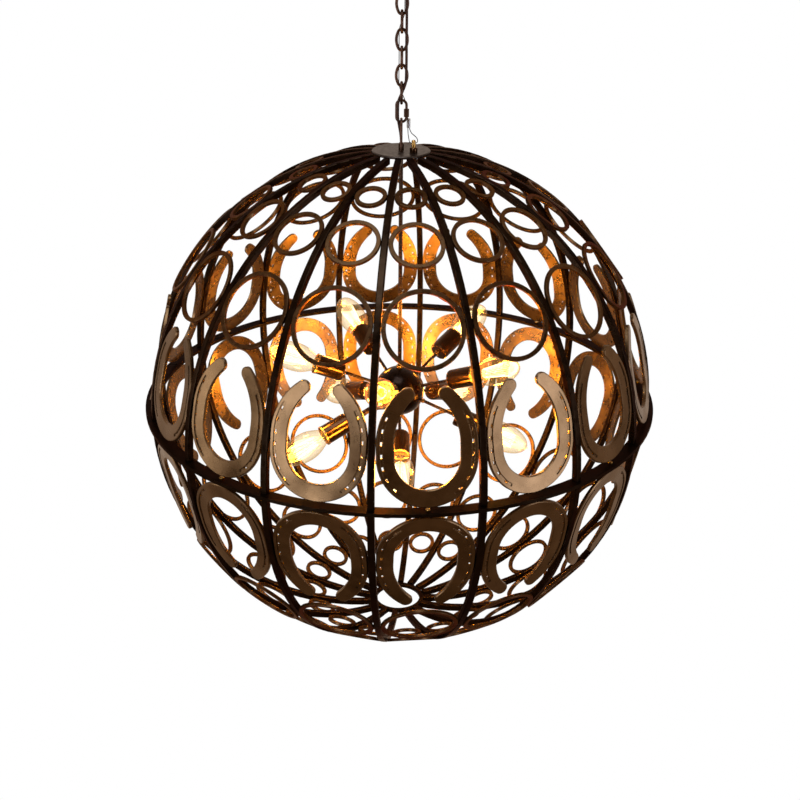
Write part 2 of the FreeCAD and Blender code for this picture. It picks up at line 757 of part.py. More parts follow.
def hanging_loop_nuts():
    body = new_body("hanging_loop_nuts")
    sketch = new_sketch(body, "Flats", "XY_Plane")
    for side in ("-", ""):
        add_hexagon(sketch, "Sizes.loop_nut_flats", "0", side + "Sizes.loop_half_width")
        add_circle(sketch, "Sizes.loop_wire / 2 + Sizes.nipple_clearance", "0",
                   side + "Sizes.loop_half_width")
    pad(body, sketch, "Sizes.loop_nut_height")
    set_down(body, "Places.disc_bottom_z - Sizes.loop_nut_height")
    return node(body, "hanging_loop_nuts")


for number in range(1, int(size("link_count")) + 1):
    chain_link(number)
quick_link_body()
quick_link_sleeve()
hanging_loop()
hanging_loop_nuts()

# ---------------------------------------------------------------- top disc, stem and anchor


def top_disc():
    body = new_body("top_disc")
    sketch = new_sketch(body, "Section")
    add_outline(sketch, [
        ("Places.stem_hole_radius", "-Sizes.disc_thickness"), ("Sizes.disc_radius", "-Sizes.disc_thickness"),
        ("Sizes.disc_radius", "-Sizes.disc_bevel"), ("Sizes.disc_radius - Sizes.disc_bevel", "0"),
        ("Places.stem_hole_radius", "0")])
    revolve(body, sketch)
    holes = new_sketch(body, "Holes", "XY_Plane")
    for side in ("-", ""):
        add_circle(holes, "Sizes.loop_wire / 2 + Sizes.nipple_clearance", "0",
                   side + "Sizes.loop_half_width")
    add_circle(holes, "Sizes.pilot_hole_diameter / 2", "Sizes.pilot_hole_x", "Sizes.pilot_hole_y")
    pocket(body, holes, "Sizes.disc_thickness")
    set_down(body, "Places.disc_top_z")
    return node(body, "top_disc")


def at_anchor(piece, height):
    piece.Placement.Base = Vector(size("anchor_x"), size("anchor_y"), value(height))
    piece.setExpression("Placement.Base.x", "Sizes.anchor_x")
    piece.setExpression("Placement.Base.y", "Sizes.anchor_y")
    piece.setExpression("Placement.Base.z", height)
    return piece


def cable_anchor_base():
    body = new_body("cable_anchor_base")
    sketch = new_sketch(body, "Section")
    radius = "(Sizes.anchor_diameter / 2)"
    add_outline(sketch, [("0", "0"), (radius, "0"), (radius, "Sizes.anchor_height - 1.5"),
                         (radius + " - 1.5", "Sizes.anchor_height"), ("0", "Sizes.anchor_height")])
    revolve(body, sketch)
    return node(at_anchor(body, "Places.disc_top_z"), "cable_anchor_base")


def cable_anchor_eye():
    """The brass nub with the cross hole that the cable's loop passes."""
    body = new_body("cable_anchor_eye")
    sketch = new_sketch(body, "Section")
    radius = "(Sizes.anchor_eye_diameter / 2)"
    add_outline(sketch, [("0", "0"), (radius, "0"), (radius, "Sizes.anchor_eye_height - 1.5"),
                         (radius + " - 1.5", "Sizes.anchor_eye_height"),
                         ("0", "Sizes.anchor_eye_height")])
    revolve(body, sketch)
    hole = new_sketch(body, "CrossHole", "YZ_Plane")
    add_circle(hole, "Sizes.anchor_eye_hole / 2", "0", "Sizes.anchor_hole_rise - Sizes.anchor_height")
    cut = body.newObject("PartDesign::Pocket", "CrossHolePocket")
    cut.Profile = hole
    cut.SideType = "Symmetric"
    cut.setExpression("Length", "2 * Sizes.anchor_eye_diameter")
    doc.recompute()
    return node(at_anchor(body, "Places.anchor_top_z"), "cable_anchor_eye")


def cable_ferrule():
    body = new_body("cable_ferrule")
    sketch = new_sketch(body, "Plan", "XY_Plane")
    add_circle(sketch, "Sizes.ferrule_diameter / 2")
    for side in ("-", ""):
        add_circle(sketch, "Sizes.ferrule_bore / 2", side + "Sizes.ferrule_bore_offset")
    pad(body, sketch, "Sizes.ferrule_length")
    body.Placement.Base = Vector(size("ferrule_x"), size("ferrule_y"), place("ferrule_z"))
    body.setExpression("Placement.Base.x", "Sizes.ferrule_x")
    body.setExpression("Placement.Base.y", "Sizes.ferrule_y")
    body.setExpression("Placement.Base.z", "Places.ferrule_z")
    return node(body, "cable_ferrule")


top_disc()
turned_piece("stem_collar", tube_section("Places.stem_hole_radius", "Sizes.stem_collar_diameter / 2",
                                         "0", "Sizes.stem_collar_height"), "Places.disc_top_z")
turned_piece("stem_tube", tube_section(
    "Sizes.stem_bore / 2", "Sizes.stem_diameter / 2", "Places.hub_top_z - Sizes.stem_foot",
    "Places.disc_top_z + Sizes.stem_collar_height + Sizes.stem_lip"))
STEM_NUT_BORE = "2 * Places.stem_hole_radius"
hex_nut("stem_disc_nut", "Sizes.stem_nut_flats", STEM_NUT_BORE, "Sizes.stem_nut_height",
        "Places.disc_bottom_z - Sizes.stem_nut_height")
hex_nut("stem_ball_nut", "Sizes.stem_nut_flats", STEM_NUT_BORE, "Sizes.stem_nut_height",
        "Places.hub_z + sqrt(Sizes.hub_radius^2 - Places.stem_hole_radius^2)")
hex_nut("stem_inner_nut", "Sizes.stem_nut_flats", STEM_NUT_BORE, "Sizes.stem_nut_height",
        "Places.hub_z + sqrt(Places.hub_inner_radius^2 - Sizes.stem_nut_flats^2 / 3)"
        " - Sizes.stem_nut_height")
cable_anchor_base()
cable_anchor_eye()
cable_ferrule()

# ---------------------------------------------------------------- supply cord and safety cable


def from_disc(x, y, rise):
    """A point at a height above the top disc."""
    return Vector(x, y, place("disc_top_z") + rise)


def beside_links(x, y, first, last, sway):
    """Points beside the chain, one at every joint between two links, swaying a little."""
    points = []
    for number in range(first, last - 1, -1):
        side = sway if number % 2 else -sway
        height = place("last_link_z") + (number - 1) * place("link_pitch")
        points.append(Vector(x + side, y + side / 2, height))
    return points


def supply_cord():
    gland_x, gland_y = size("cord_gland_x"), size("cord_gland_y")
    canopy = -size("canopy_depth")
    last = place("last_link_z")
    count = int(size("link_count"))
    points = [Vector(gland_x, gland_y, canopy + 14), Vector(gland_x, gland_y, canopy - 10)]
    points += beside_links(8.6, -6.6, count, 2, 0.25)
    points += [Vector(8.1, -6.0, last + 19), Vector(0, -3.7, last - 1.2), Vector(-6.2, -5.2, last - 13.4)]
    points += [Vector(-6.8, -7.6, place("quick_link_z") + 3.7)]
    points += [Vector(-6.7, -6.3, place("loop_top_z") + 3.7), from_disc(-4.4, -5.2, 48.6)]
    points += [from_disc(0, 0, 24), from_disc(0, 0, 6)]
    return shaped("supply_cord", limp_tube("supply_cord", points, size("cord_diameter")))


def safety_cable():
    gland_x, gland_y = size("cable_gland_x"), size("cable_gland_y")
    canopy = -size("canopy_depth")
    pitch = place("link_pitch")
    last = place("last_link_z")
    count = int(size("link_count"))
    crossing = last + (count - 3) * pitch
    side, back, sway = 5.1, 4.7, 0.15
    points = [Vector(gland_x, gland_y, canopy + 14), Vector(gland_x, gland_y, canopy - 8)]
    points += beside_links(side, back, count, count - 1, sway)
    points += [Vector(side, back, crossing + 10), Vector(-side, back, crossing - 10)]
    points += beside_links(-side, back, count - 3, 2, sway)
    points += [Vector(-side, back, last + 10), Vector(side, back + 0.2, last - 10)]
    points += [Vector(9.0, 6.4, place("quick_link_z") + 9)]
    top = from_disc(size("ferrule_x") - size("ferrule_bore_offset"), size("ferrule_y"),
                    size("ferrule_rise") + size("ferrule_length"))
    points += [top + Vector(0, 0, 3), top - Vector(0, 0, size("ferrule_length") / 2)]
    return shaped("safety_cable", limp_tube("safety_cable", points, size("cable_diameter")))


def safety_cable_loop():
    """The end of the cable, through the anchor's eye and back into the ferrule."""
    low = size("ferrule_rise")
    x, y, offset = size("ferrule_x"), size("ferrule_y"), size("ferrule_bore_offset")
    eye_x, eye_y, eye_rise = size("anchor_x"), size("anchor_y"), size("anchor_hole_rise")
    reach = size("anchor_eye_diameter") / 2 + 3.5
    points = [from_disc(x - offset, y, low + 8), from_disc(x - offset, y, low - 8),
              from_disc(eye_x - reach - 2, eye_y + 10, eye_rise + 8),
              from_disc(eye_x - reach, eye_y, eye_rise), from_disc(eye_x + reach, eye_y, eye_rise),
              from_disc(eye_x + reach, eye_y + 10, eye_rise + 8),
              from_disc(x + offset, y, low - 8), from_disc(x + offset, y, low + 8)]
    return shaped("safety_cable_loop", limp_tube("safety_cable_loop", points, size("cable_diameter")))


supply_cord()
safety_cable()
safety_cable_loop()

# ---------------------------------------------------------------- globe


def leaning_sketch(body, name, latitude, distance):
    """A sketch on the plane that faces outward at a latitude and a distance from the centre."""
    sketch = new_sketch(body, name, "YZ_Plane")
    angle = value(latitude)
    lean = math.radians(angle)
    sketch.AttachmentOffset = FreeCAD.Placement(
        Vector(0, value(distance) * math.sin(lean), value(distance) * math.cos(lean)),
        FreeCAD.Rotation(Vector(1, 0, 0), -angle))
    sketch.setExpression("AttachmentOffset.Base.y", "(%s) * sin(%s * 1deg)" % (distance, latitude))
    sketch.setExpression("AttachmentOffset.Base.z", "(%s) * cos(%s * 1deg)" % (distance, latitude))
    return sketch


def on_panels(label, master, heading):
    """Copies of a piece, one per panel, turned about the axis of the globe."""
    count = int(size("panel_count"))
    copies = []
    for number in range(count):
        copy = master.Shape.copy()
        copy.rotate(Vector(0, 0, 0), UP, 360.0 * number / count)
        copies.append(copy)
    piece = shaped(label, Part.makeCompound(copies))
    set_down(piece, "Places.globe_z", heading)
    return piece


def pinned_arc(sketch, centre, radius, start, end):
    """An arc through two pinned points; start and end are pairs of expressions."""
    middle = Vector(*centre, 0)
    angles = [math.atan2(value(along) - middle.y, value(across) - middle.x) for across, along in (start, end)]
    circle = Part.Circle(middle, UP, value(radius))
    return sketch.addGeometry(Part.ArcOfCircle(circle, angles[0], angles[1]), False)


def rib_master():
    body = new_body("rib")
    sketch = new_sketch(body, "Profile")
    foot, top = "Sizes.flange_thickness", "Sizes.disc_radius"
    arcs, corners = [], []
    for radius in ("Sizes.globe_radius", "Places.rib_inner_radius"):
        low = ("sqrt((%s)^2 - %s^2)" % (radius, foot), foot)
        high = (top, "sqrt((%s)^2 - %s^2)" % (radius, top))
        arcs.append(pinned_arc(sketch, (0, 0), radius, low, high))
        corners.append((low, high))
    for arc, (low, high), radius in zip(arcs, corners, ("Sizes.globe_radius", "Places.rib_inner_radius")):
        tie(sketch, "Radius", arc, radius)
        pin_point(sketch, arc, 1, *low)
        pin_point(sketch, arc, 2, *high)
    for end in (1, 2):
        start, finish = [sketch.getPoint(arc, end) for arc in arcs]
        line = sketch.addGeometry(Part.LineSegment(start, finish), False)
        tie(sketch, "Coincident", line, 1, arcs[0], end)
        tie(sketch, "Coincident", line, 2, arcs[1], end)
    bar = pad(body, sketch, "Sizes.rib_width", symmetric=True)
    dress(body, "Fillet", bar, lambda edge: edge.Length > size("globe_radius"), "Sizes.rib_rounding")
    return body


def ring_master(row):
    body = new_body(row + "_ring")
    latitude = "Sizes.%s_ring_latitude" % row
    sketch = leaning_sketch(body, "Circles", latitude, "Places.rib_mid_radius")
    add_circle(sketch, "Places.%s_ring_radius" % row)
    add_circle(sketch, "Places.%s_ring_radius - Sizes.ring_bar" % row)
    band = pad(body, sketch, "Sizes.ring_depth", symmetric=True)
    dress(body, "Fillet", band, lambda edge: edge.isClosed(), "Sizes.ring_rounding")
    return body


def shoe_outline(sketch):
    """A horseshoe with its toe down: toe arcs, straight sides, branch arcs and round heels."""
    half_width, inner_width = place("shoe_half_width"), place("shoe_half_width") - size("shoe_web")
    toe, shoulder = -size("shoe_toe_drop"), size("shoe_shoulder")
    outer = size("shoe_branch_radius")
    inner = outer - size("shoe_branch_step")
    heel = size("shoe_heel_radius")
    outer_x, inner_x = half_width - outer, inner_width - inner
    apart = outer_x - inner_x
    along = ((inner + heel) ** 2 - (outer - heel) ** 2 + apart ** 2) / (2 * apart)
    heel_x, heel_y = inner_x + along, shoulder + math.sqrt((inner + heel) ** 2 - along ** 2)
    outer_end = math.atan2(heel_y - shoulder, heel_x - outer_x)
    inner_end = math.atan2(heel_y - shoulder, heel_x - inner_x)

    def arc(x, y, radius, start, end):
        return sketch.addGeometry(Part.ArcOfCircle(Part.Circle(Vector(x, y, 0), UP, radius), start, end), False)

    def side(x):
        return sketch.addGeometry(Part.LineSegment(Vector(x, toe, 0), Vector(x, shoulder, 0)), False)

    outer_toe = arc(0, toe, half_width, math.pi, 2 * math.pi)
    inner_toe = arc(0, toe, inner_width, math.pi, 2 * math.pi)
    tie(sketch, "PointOnObject", outer_toe, 3, -2)
    tie(sketch, "Coincident", inner_toe, 3, outer_toe, 3)
    tie(sketch, "DistanceY", outer_toe, 3, -1, 1, "Sizes.shoe_toe_drop")
    tie(sketch, "Radius", outer_toe, "Places.shoe_half_width")
    tie(sketch, "Radius", inner_toe, "Places.shoe_half_width - Sizes.shoe_web")
    for right in (True, False):
        sign = 1 if right else -1
        if right:
            branches = (arc(outer_x, shoulder, outer, 0, outer_end), arc(inner_x, shoulder, inner, 0, inner_end))
            round_heel = arc(heel_x, heel_y, heel, outer_end, inner_end + math.pi)
        else:
            branches = (arc(-outer_x, shoulder, outer, math.pi - outer_end, math.pi),
                        arc(-inner_x, shoulder, inner, math.pi - inner_end, math.pi))
            round_heel = arc(-heel_x, heel_y, heel, -inner_end, math.pi - outer_end)
        sides = (side(sign * half_width), side(sign * inner_width))
        toe_end, near, far = (2, 1, 2) if right else (1, 2, 1)
        for toe_arc, line, branch in zip((outer_toe, inner_toe), sides, branches):
            tie(sketch, "Tangent", toe_arc, toe_end, line, 1)
            tie(sketch, "Tangent", line, 2, branch, near)
            tie(sketch, "Vertical", line)
            tie(sketch, "DistanceY", -1, 1, line, 2, "Sizes.shoe_shoulder")
        tie(sketch, "Radius", branches[0], "Sizes.shoe_branch_radius")
        tie(sketch, "Radius", branches[1], "Sizes.shoe_branch_radius - Sizes.shoe_branch_step")
        tie(sketch, "Radius", round_heel, "Sizes.shoe_heel_radius")
        tie(sketch, "Tangent", branches[0], far, round_heel, near)
        tie(sketch, "Tangent", branches[1], far, round_heel, far)


def crease_outline(sketch, sign):
    """The groove along one branch that the nail holes sit in."""
    toe = "-Sizes.shoe_toe_drop"
    rows = []
    for side in ("+", "-"):
        toe_radius = "(Places.crease_toe_radius %s Sizes.crease_width / 2)" % side
        branch_radius = "(Places.crease_branch_radius %s Sizes.crease_width / 2)" % side
        rows.append((toe_radius, branch_radius, [
            ("%s1 * %s * cos(Sizes.crease_toe_angle * 1deg)" % (sign, toe_radius),
             "%s - %s * sin(Sizes.crease_toe_angle * 1deg)" % (toe, toe_radius)),
            ("%s1 * %s" % (sign, toe_radius), toe),
            ("%s1 * %s" % (sign, toe_radius), "Sizes.shoe_shoulder"),
            ("%s1 * (Places.branch_centre + %s * cos(Sizes.crease_heel_angle * 1deg))"
             % (sign, branch_radius),
             "Sizes.shoe_shoulder + %s * sin(Sizes.crease_heel_angle * 1deg)" % branch_radius)]))
    first, last = [], []
    for toe_radius, branch_radius, (start, spring, shoulder, end) in rows:
        centre = (0, value(toe))
        branch = (value("%s1 * Places.branch_centre" % sign), size("shoe_shoulder"))
        low = (start, spring) if sign == "+" else (spring, start)
        high = (shoulder, end) if sign == "+" else (end, shoulder)
        toe_arc = pinned_arc(sketch, centre, toe_radius, *low)
        branch_arc = pinned_arc(sketch, branch, branch_radius, *high)
        straight = sketch.addGeometry(Part.LineSegment(*[Vector(value(x), value(y), 0)
                                                         for x, y in (spring, shoulder)]), False)
        near, far = (2, 1) if sign == "+" else (1, 2)
        tie(sketch, "Radius", toe_arc, toe_radius)
        tie(sketch, "Radius", branch_arc, branch_radius)
        pin_point(sketch, straight, 1, *spring)
        pin_point(sketch, straight, 2, *shoulder)
        tie(sketch, "Coincident", toe_arc, near, straight, 1)
        tie(sketch, "Coincident", branch_arc, far, straight, 2)
        pin_point(sketch, toe_arc, far, *start)
        pin_point(sketch, branch_arc, near, *end)
        first.append((toe_arc, far, start))
        last.append((branch_arc, near, end))
    for (arc, end, corner), (other, other_end, other_corner) in (first, last):
        line = sketch.addGeometry(Part.LineSegment(*[Vector(value(x), value(y), 0)
                                                     for x, y in (corner, other_corner)]), False)
        tie(sketch, "Coincident", line, 1, arc, end)
        tie(sketch, "Coincident", line, 2, other, other_end)


def nail_hole_places():
    """Where the nail holes sit along a branch: x, y and the direction of the branch there."""
    straight = size("shoe_toe_drop") + size("shoe_shoulder")
    toe_radius, branch_radius = place("crease_toe_radius"), place("crease_branch_radius")
    for number in range(int(size("nail_hole_count"))):
        travel = number * size("nail_hole_pitch") - size("nail_hole_reach")
        if travel < 0:
            angle = travel / toe_radius
            x, y = toe_radius * math.cos(angle), toe_radius * math.sin(angle) - size("shoe_toe_drop")
        elif travel < straight:
            angle = 0.0
            x, y = toe_radius, travel - size("shoe_toe_drop")
        else:
            angle = (travel - straight) / branch_radius
            x = place("branch_centre") + branch_radius * math.cos(angle)
            y = size("shoe_shoulder") + branch_radius * math.sin(angle)
        yield x, y, math.degrees(angle)


def shoe_master():
    body = new_body("horseshoe")
    outline = leaning_sketch(body, "Outline", "Sizes.shoe_latitude", "Places.shoe_distance")
    shoe_outline(outline)
    blank = pad(body, outline, "Sizes.shoe_thickness", symmetric=True)
    face = [item for item in blank.Shape.Faces if item.CenterOfMass.Length > place("shoe_distance")]
    outer_face = max(face, key=lambda item: item.Area)
    rim = [edge.hashCode() for edge in outer_face.Edges]
    dress(body, "Chamfer", blank, lambda edge: edge.hashCode() in rim, "Sizes.shoe_bevel")
    crease = leaning_sketch(body, "Crease", "Sizes.shoe_latitude",
                            "(Places.shoe_distance + Sizes.shoe_thickness / 2)")
    for sign in ("+", "-"):
        crease_outline(crease, sign)
    pocket(body, crease, "Sizes.crease_depth")
    through = 3 * size("shoe_thickness")
    cutters = []
    for x, y, angle in nail_hole_places():
        for side in (1, -1):
            cutter = Part.makeBox(size("nail_hole_width"), size("nail_hole_length"), through,
                                  Vector(-size("nail_hole_width") / 2, -size("nail_hole_length") / 2,
                                         -through / 2))
            cutter.rotate(Vector(0, 0, 0), UP, side * angle)
            cutter.translate(Vector(side * x, y, 0))
            cutter.Placement = outline.Placement.multiply(cutter.Placement)
            cutters.append(cutter)
    shoe = doc.addObject("Part::Feature", "PunchedHorseshoe")
    shoe.Shape = body.Shape.cut(Part.makeCompound(cutters))
    return shoe


def flange_ring():
    body = new_body("flange_ring_upper")
    sketch = new_sketch(body, "Section")
    add_outline(sketch, tube_section("Places.flange_inner_radius", "Places.flange_outer_radius",
                                     "0", "Sizes.flange_thickness"))
    revolve(body, sketch)
    hole = new_sketch(body, "BoltHole", "XY_Plane")
    add_circle(hole, "Sizes.bolt_diameter / 2 + Sizes.hole_clearance", "Places.bolt_circle_radius")
    cut = pocket(body, hole, "Sizes.flange_thickness", reversed_side=True)
    around(body, [cut], "Sizes.bolt_count")
    set_down(body, "Places.globe_z", "Sizes.panel_heading")
    return node(body, "flange_ring_upper")


def flange_bolts():
    """Round-headed bolts through both flange rings."""
    body = new_body("flange_bolts")
    shank, head = "(Sizes.bolt_diameter / 2)", "(Sizes.bolt_head_diameter / 2)"
    seat, bevel = "Sizes.flange_thickness", "Sizes.bolt_head_bevel"
    axis = "Places.bolt_circle_radius"
    stem_sketch = new_sketch(body, "Shank", "XY_Plane")
    foot = "-Sizes.flange_thickness - Sizes.bolt_nut_height - Sizes.bolt_tail"
    raise_sketch(stem_sketch, foot)
    add_circle(stem_sketch, shank, axis)
    pad(body, stem_sketch, "2 * %s + Sizes.bolt_nut_height + Sizes.bolt_tail + 1" % seat)
    head_sketch = new_sketch(body, "Head", "XY_Plane")
    raise_sketch(head_sketch, seat)
    add_circle(head_sketch, head, axis)
    cap = pad(body, head_sketch, "Sizes.bolt_head_height")
    top = value(seat) + size("bolt_head_height")
    dress(body, "Chamfer", cap, lambda edge: edge.isClosed() and edge.BoundBox.ZMin > top - 0.01, bevel)
    around(body, None, "Sizes.bolt_count", whole=True)
    set_down(body, "Places.globe_z", "Sizes.panel_heading")
    return node(body, "flange_bolts")


def flange_nuts():
    body = new_body("flange_nuts")
    sketch = new_sketch(body, "Flats", "XY_Plane")
    raise_sketch(sketch, "-Sizes.flange_thickness - Sizes.bolt_nut_height")
    add_hexagon(sketch, "Sizes.bolt_nut_flats", "Places.bolt_circle_radius")
    add_circle(sketch, "Sizes.bolt_diameter / 2 + Sizes.nipple_clearance", "Places.bolt_circle_radius")
    nut = pad(body, sketch, "Sizes.bolt_nut_height")
    around(body, [nut], "Sizes.bolt_count")
    set_down(body, "Places.globe_z", "Sizes.panel_heading")
    return node(body, "flange_nuts")


def bottom_ring():
    body = new_body("bottom_ring")
    sketch = new_sketch(body, "Section")
    half = "Sizes.bottom_ring_height / 2"
    add_outline(sketch, tube_section("Sizes.disc_radius - Sizes.bottom_ring_bar", "Sizes.disc_radius",
                                     "-Places.bottom_ring_level - %s" % half,
                                     "-Places.bottom_ring_level + %s" % half))
    ring = revolve(body, sketch)
    inner = size("disc_radius") - size("bottom_ring_bar")
    dress(body, "Fillet", ring, lambda edge: edge.isClosed() and abs(edge.Curve.Radius - inner) < 0.01,
          "Sizes.bottom_ring_rounding")
    set_down(body, "Places.globe_z")
    return node(body, "bottom_ring")


ribs = on_panels("ribs_upper", rib_master(), "Places.rib_heading")
mirrored_copy(ribs, "ribs_lower")
for row in RING_ROWS:
    rings = on_panels("rings_%s_upper" % row, ring_master(row), "Sizes.panel_heading")
    mirrored_copy(rings, "rings_%s_lower" % row)
shoes = on_panels("horseshoes_upper", shoe_master(), "Sizes.panel_heading")
mirrored_copy(shoes, "horseshoes_lower")
mirrored_copy(flange_ring(), "flange_ring_lower")
flange_bolts()
flange_nuts()
bottom_ring()

# ---------------------------------------------------------------- hub ball and lamp arms

ARMS = [(size("upper_arm_latitude"), heading) for heading in UPPER_ARM_HEADINGS]
ARMS += [(size("lower_arm_latitude"), heading) for heading in LOWER_ARM_HEADINGS]


def arm_rotation(latitude, heading):
    """The turn that takes the vertical axis of a lamp piece to its arm."""
    return FreeCAD.Rotation(UP, heading - 90).multiply(FreeCAD.Rotation(Vector(0, 1, 0), 90 - latitude))


def on_arms(label, master_shape):
    """A copy of a lamp piece on every arm."""
    copies = []
    for latitude, heading in ARMS:
        copy = master_shape.copy()
        copy.Placement = FreeCAD.Placement(Vector(0, 0, 0), arm_rotation(latitude, heading)).multiply(
            copy.Placement)
        copies.append(copy)
    piece = shaped(label, Part.makeCompound(copies))
    piece.Placement.Base.z = place("hub_z")
    piece.setExpression("Placement.Base.z", "Places.hub_z")
    return piece


def hub_ball():
    """A hollow ball drilled for the arms and for the stem."""
    outer = doc.addObject("Part::Sphere", "BallOuter")
    outer.setExpression("Radius", "Sizes.hub_radius * 1mm")
    inner = doc.addObject("Part::Sphere", "BallInner")
    inner.setExpression("Radius", "Places.hub_inner_radius * 1mm")
    shell = doc.addObject("Part::Cut", "BallShell")
    shell.Base, shell.Tool = outer, inner
    doc.recompute()
    length = 2 * size("hub_radius")
    drills = [Part.makeCylinder(place("stem_hole_radius"), length)]
    for latitude, heading in ARMS:
        drill = Part.makeCylinder(place("arm_hole_radius"), length)
        drill.Placement = FreeCAD.Placement(Vector(0, 0, 0), arm_rotation(latitude, heading))
        drills.append(drill)
    piece = shaped("hub_ball", shell.Shape.cut(drills))
    piece.Placement.Base.z = place("hub_z")
    piece.setExpression("Placement.Base.z", "Places.hub_z")
    return piece


def turned_master(name, corners):
    body = new_body(name)
    sketch = new_sketch(body, "Section")
    add_outline(sketch, corners)
    revolve(body, sketch)
    return body


def arm_nut_master():
    body = new_body("arm_nut")
    sketch = new_sketch(body, "Flats", "XY_Plane")
    raise_sketch(sketch, "sqrt(Places.hub_inner_radius^2 - Sizes.arm_nut_flats^2 / 3)"
                         " - Sizes.arm_nut_height")
    add_hexagon(sketch, "Sizes.arm_nut_flats")
    add_circle(sketch, "Places.arm_hole_radius")
    pad(body, sketch, "Sizes.arm_nut_height")
    return body


def collar_section(low):
    high = low + " + Sizes.arm_collar_height"
    return tube_section("Places.arm_hole_radius", "Sizes.arm_collar_diameter / 2", low, high)


def cover_master():
    """The cup round a lamp holder, its back edge rounded inside and out."""
    back, wall, mouth = "Sizes.cover_back", "Sizes.cover_wall", "Places.cover_mouth"
    radius, inner = "(Sizes.cover_diameter / 2)", "Places.cover_inner_radius"
    body = turned_master("socket_cover", [
        ("Places.arm_hole_radius", back), (radius, back), (radius, mouth), (inner, mouth),
        (inner, "%s + %s" % (back, wall)), ("Places.arm_hole_radius", "%s + %s" % (back, wall))])
    rounds = (("Places.socket_back", inner, "Sizes.cover_rounding - Sizes.cover_wall"),
              (back, radius, "Sizes.cover_rounding"))
    for level, edge_radius, rounding in rounds:
        dress(body, "Fillet", body.Tip,
              lambda edge: edge.isClosed() and abs(edge.Curve.Radius - value(edge_radius)) < 0.01
              and abs(edge.BoundBox.Center.z - value(level)) < 0.01, rounding)
    return body


def bulb_wall(side_radius, neck_radius, base, belly, tip):
    """The outline of the glass: a flank and a dome that meet smoothly at the belly."""
    neck_pull = 0.36 * (belly - base)
    dome_pull = 0.52 * (tip - belly)
    poles = (
        (Vector(neck_radius, 0, base), Vector(neck_radius, 0, base + neck_pull),
         Vector(side_radius, 0, belly - 1.5 * neck_pull), Vector(side_radius, 0, belly)),
        (Vector(side_radius, 0, belly), Vector(side_radius, 0, belly + dome_pull),
         Vector(0.58 * side_radius, 0, tip), Vector(0, 0, tip)),
    )
    curves = []
    for four in poles:
        curve = Part.BezierCurve()
        curve.setPoles(list(four))
        curves.append(curve.toShape())
    return curves


def bulb_glass_shape():
    """A thin blown envelope, open at the neck, with a small sealed tip."""
    wall = size("bulb_wall")
    base, radius, neck = place("bulb_base"), size("bulb_diameter") / 2, size("bulb_neck_diameter") / 2
    belly, tip = base + size("bulb_belly"), base + size("bulb_length")
    outer = bulb_wall(radius, neck, base, belly, tip)
    inner = bulb_wall(radius - wall, neck - wall, base, belly, tip - wall)
    neck_edge = Part.LineSegment(Vector(neck - wall, 0, base), Vector(neck, 0, base)).toShape()
    tip_edge = Part.LineSegment(Vector(0, 0, tip), Vector(0, 0, tip - wall)).toShape()
    section = Part.Face(Part.Wire(Part.__sortEdges__([neck_edge] + outer + [tip_edge] + inner)))
    glass = section.revolve(Vector(0, 0, 0), UP, 360)
    bead = Part.makeSphere(size("bulb_tip_radius"), Vector(0, 0, tip - wall))
    hollow = Part.Face(Part.Wire(Part.__sortEdges__(inner + [
        Part.LineSegment(Vector(0, 0, tip - wall), Vector(0, 0, base)).toShape(),
        Part.LineSegment(Vector(0, 0, base), Vector(neck - wall, 0, base)).toShape()])))
    bead = bead.cut(hollow.revolve(Vector(0, 0, 0), UP, 360))
    return glass.fuse(bead).removeSplitter()


def filament_shape():
    """A wire that runs up and down round the mount, between a low and a high circle."""
    base = place("bulb_base")
    ends = [(size("filament_low_radius"), base + size("filament_low")),
            (size("filament_high_radius"), base + size("filament_high"))]
    legs = int(size("filament_legs"))
    points = []
    for number in range(legs):
        angle = 2 * math.pi * number / legs
        leg = [Vector(radius * math.cos(angle), radius * math.sin(angle), height)
               for radius, height in ends]
        points += leg if number % 2 == 0 else leg[::-1]
    wire = rounded_route(points)[0]
    return round_wire(wire, size("filament_wire"), points[0], points[1] - points[0])


hub_ball()
on_arms("arm_tubes", turned_master("arm_tube", tube_section(
    "Sizes.arm_bore / 2", "Sizes.arm_diameter / 2", "Sizes.arm_inner_end",
    "Places.socket_back + Sizes.socket_tube_depth")).Shape)
on_arms("arm_lock_nuts", arm_nut_master().Shape)
on_arms("arm_ball_collars", turned_master("ball_collar", collar_section(
    "sqrt(Sizes.hub_radius^2 - Places.arm_hole_radius^2)")).Shape)
on_arms("arm_socket_collars", turned_master("socket_collar", collar_section(
    "Sizes.cover_back - Sizes.arm_collar_height")).Shape)
on_arms("socket_covers", cover_master().Shape)
OUTSIDE = "(Sizes.cover_diameter / 2)"
on_arms("socket_rims", turned_master("socket_rim", [
    (OUTSIDE, "Places.cover_mouth - Sizes.rim_overlap"),
    (OUTSIDE + " + Sizes.rim_proud", "Places.cover_mouth - Sizes.rim_overlap"),
    (OUTSIDE + " + Sizes.rim_proud", "Places.cover_mouth + Sizes.rim_lip"),
    ("Places.cover_inner_radius", "Places.cover_mouth + Sizes.rim_lip"),
    ("Places.cover_inner_radius", "Places.cover_mouth"), (OUTSIDE, "Places.cover_mouth")]).Shape)
CAP_BORE = "Sizes.cap_diameter / 2 + Sizes.cap_clearance"
on_arms("socket_bodies", turned_master("socket_body", [
    ("Places.arm_hole_radius", "Places.socket_back"),
    ("Places.socket_radius - Sizes.socket_chamfer", "Places.socket_back"),
    ("Places.socket_radius", "Places.socket_back + Sizes.socket_chamfer"),
    ("Places.socket_radius", "Places.socket_back + Sizes.socket_length"),
    (CAP_BORE, "Places.socket_back + Sizes.socket_length"),
    (CAP_BORE, "Places.socket_back + Sizes.socket_floor"),
    ("Places.arm_hole_radius", "Places.socket_back + Sizes.socket_floor")]).Shape)
CAP = "(Sizes.cap_diameter / 2)"
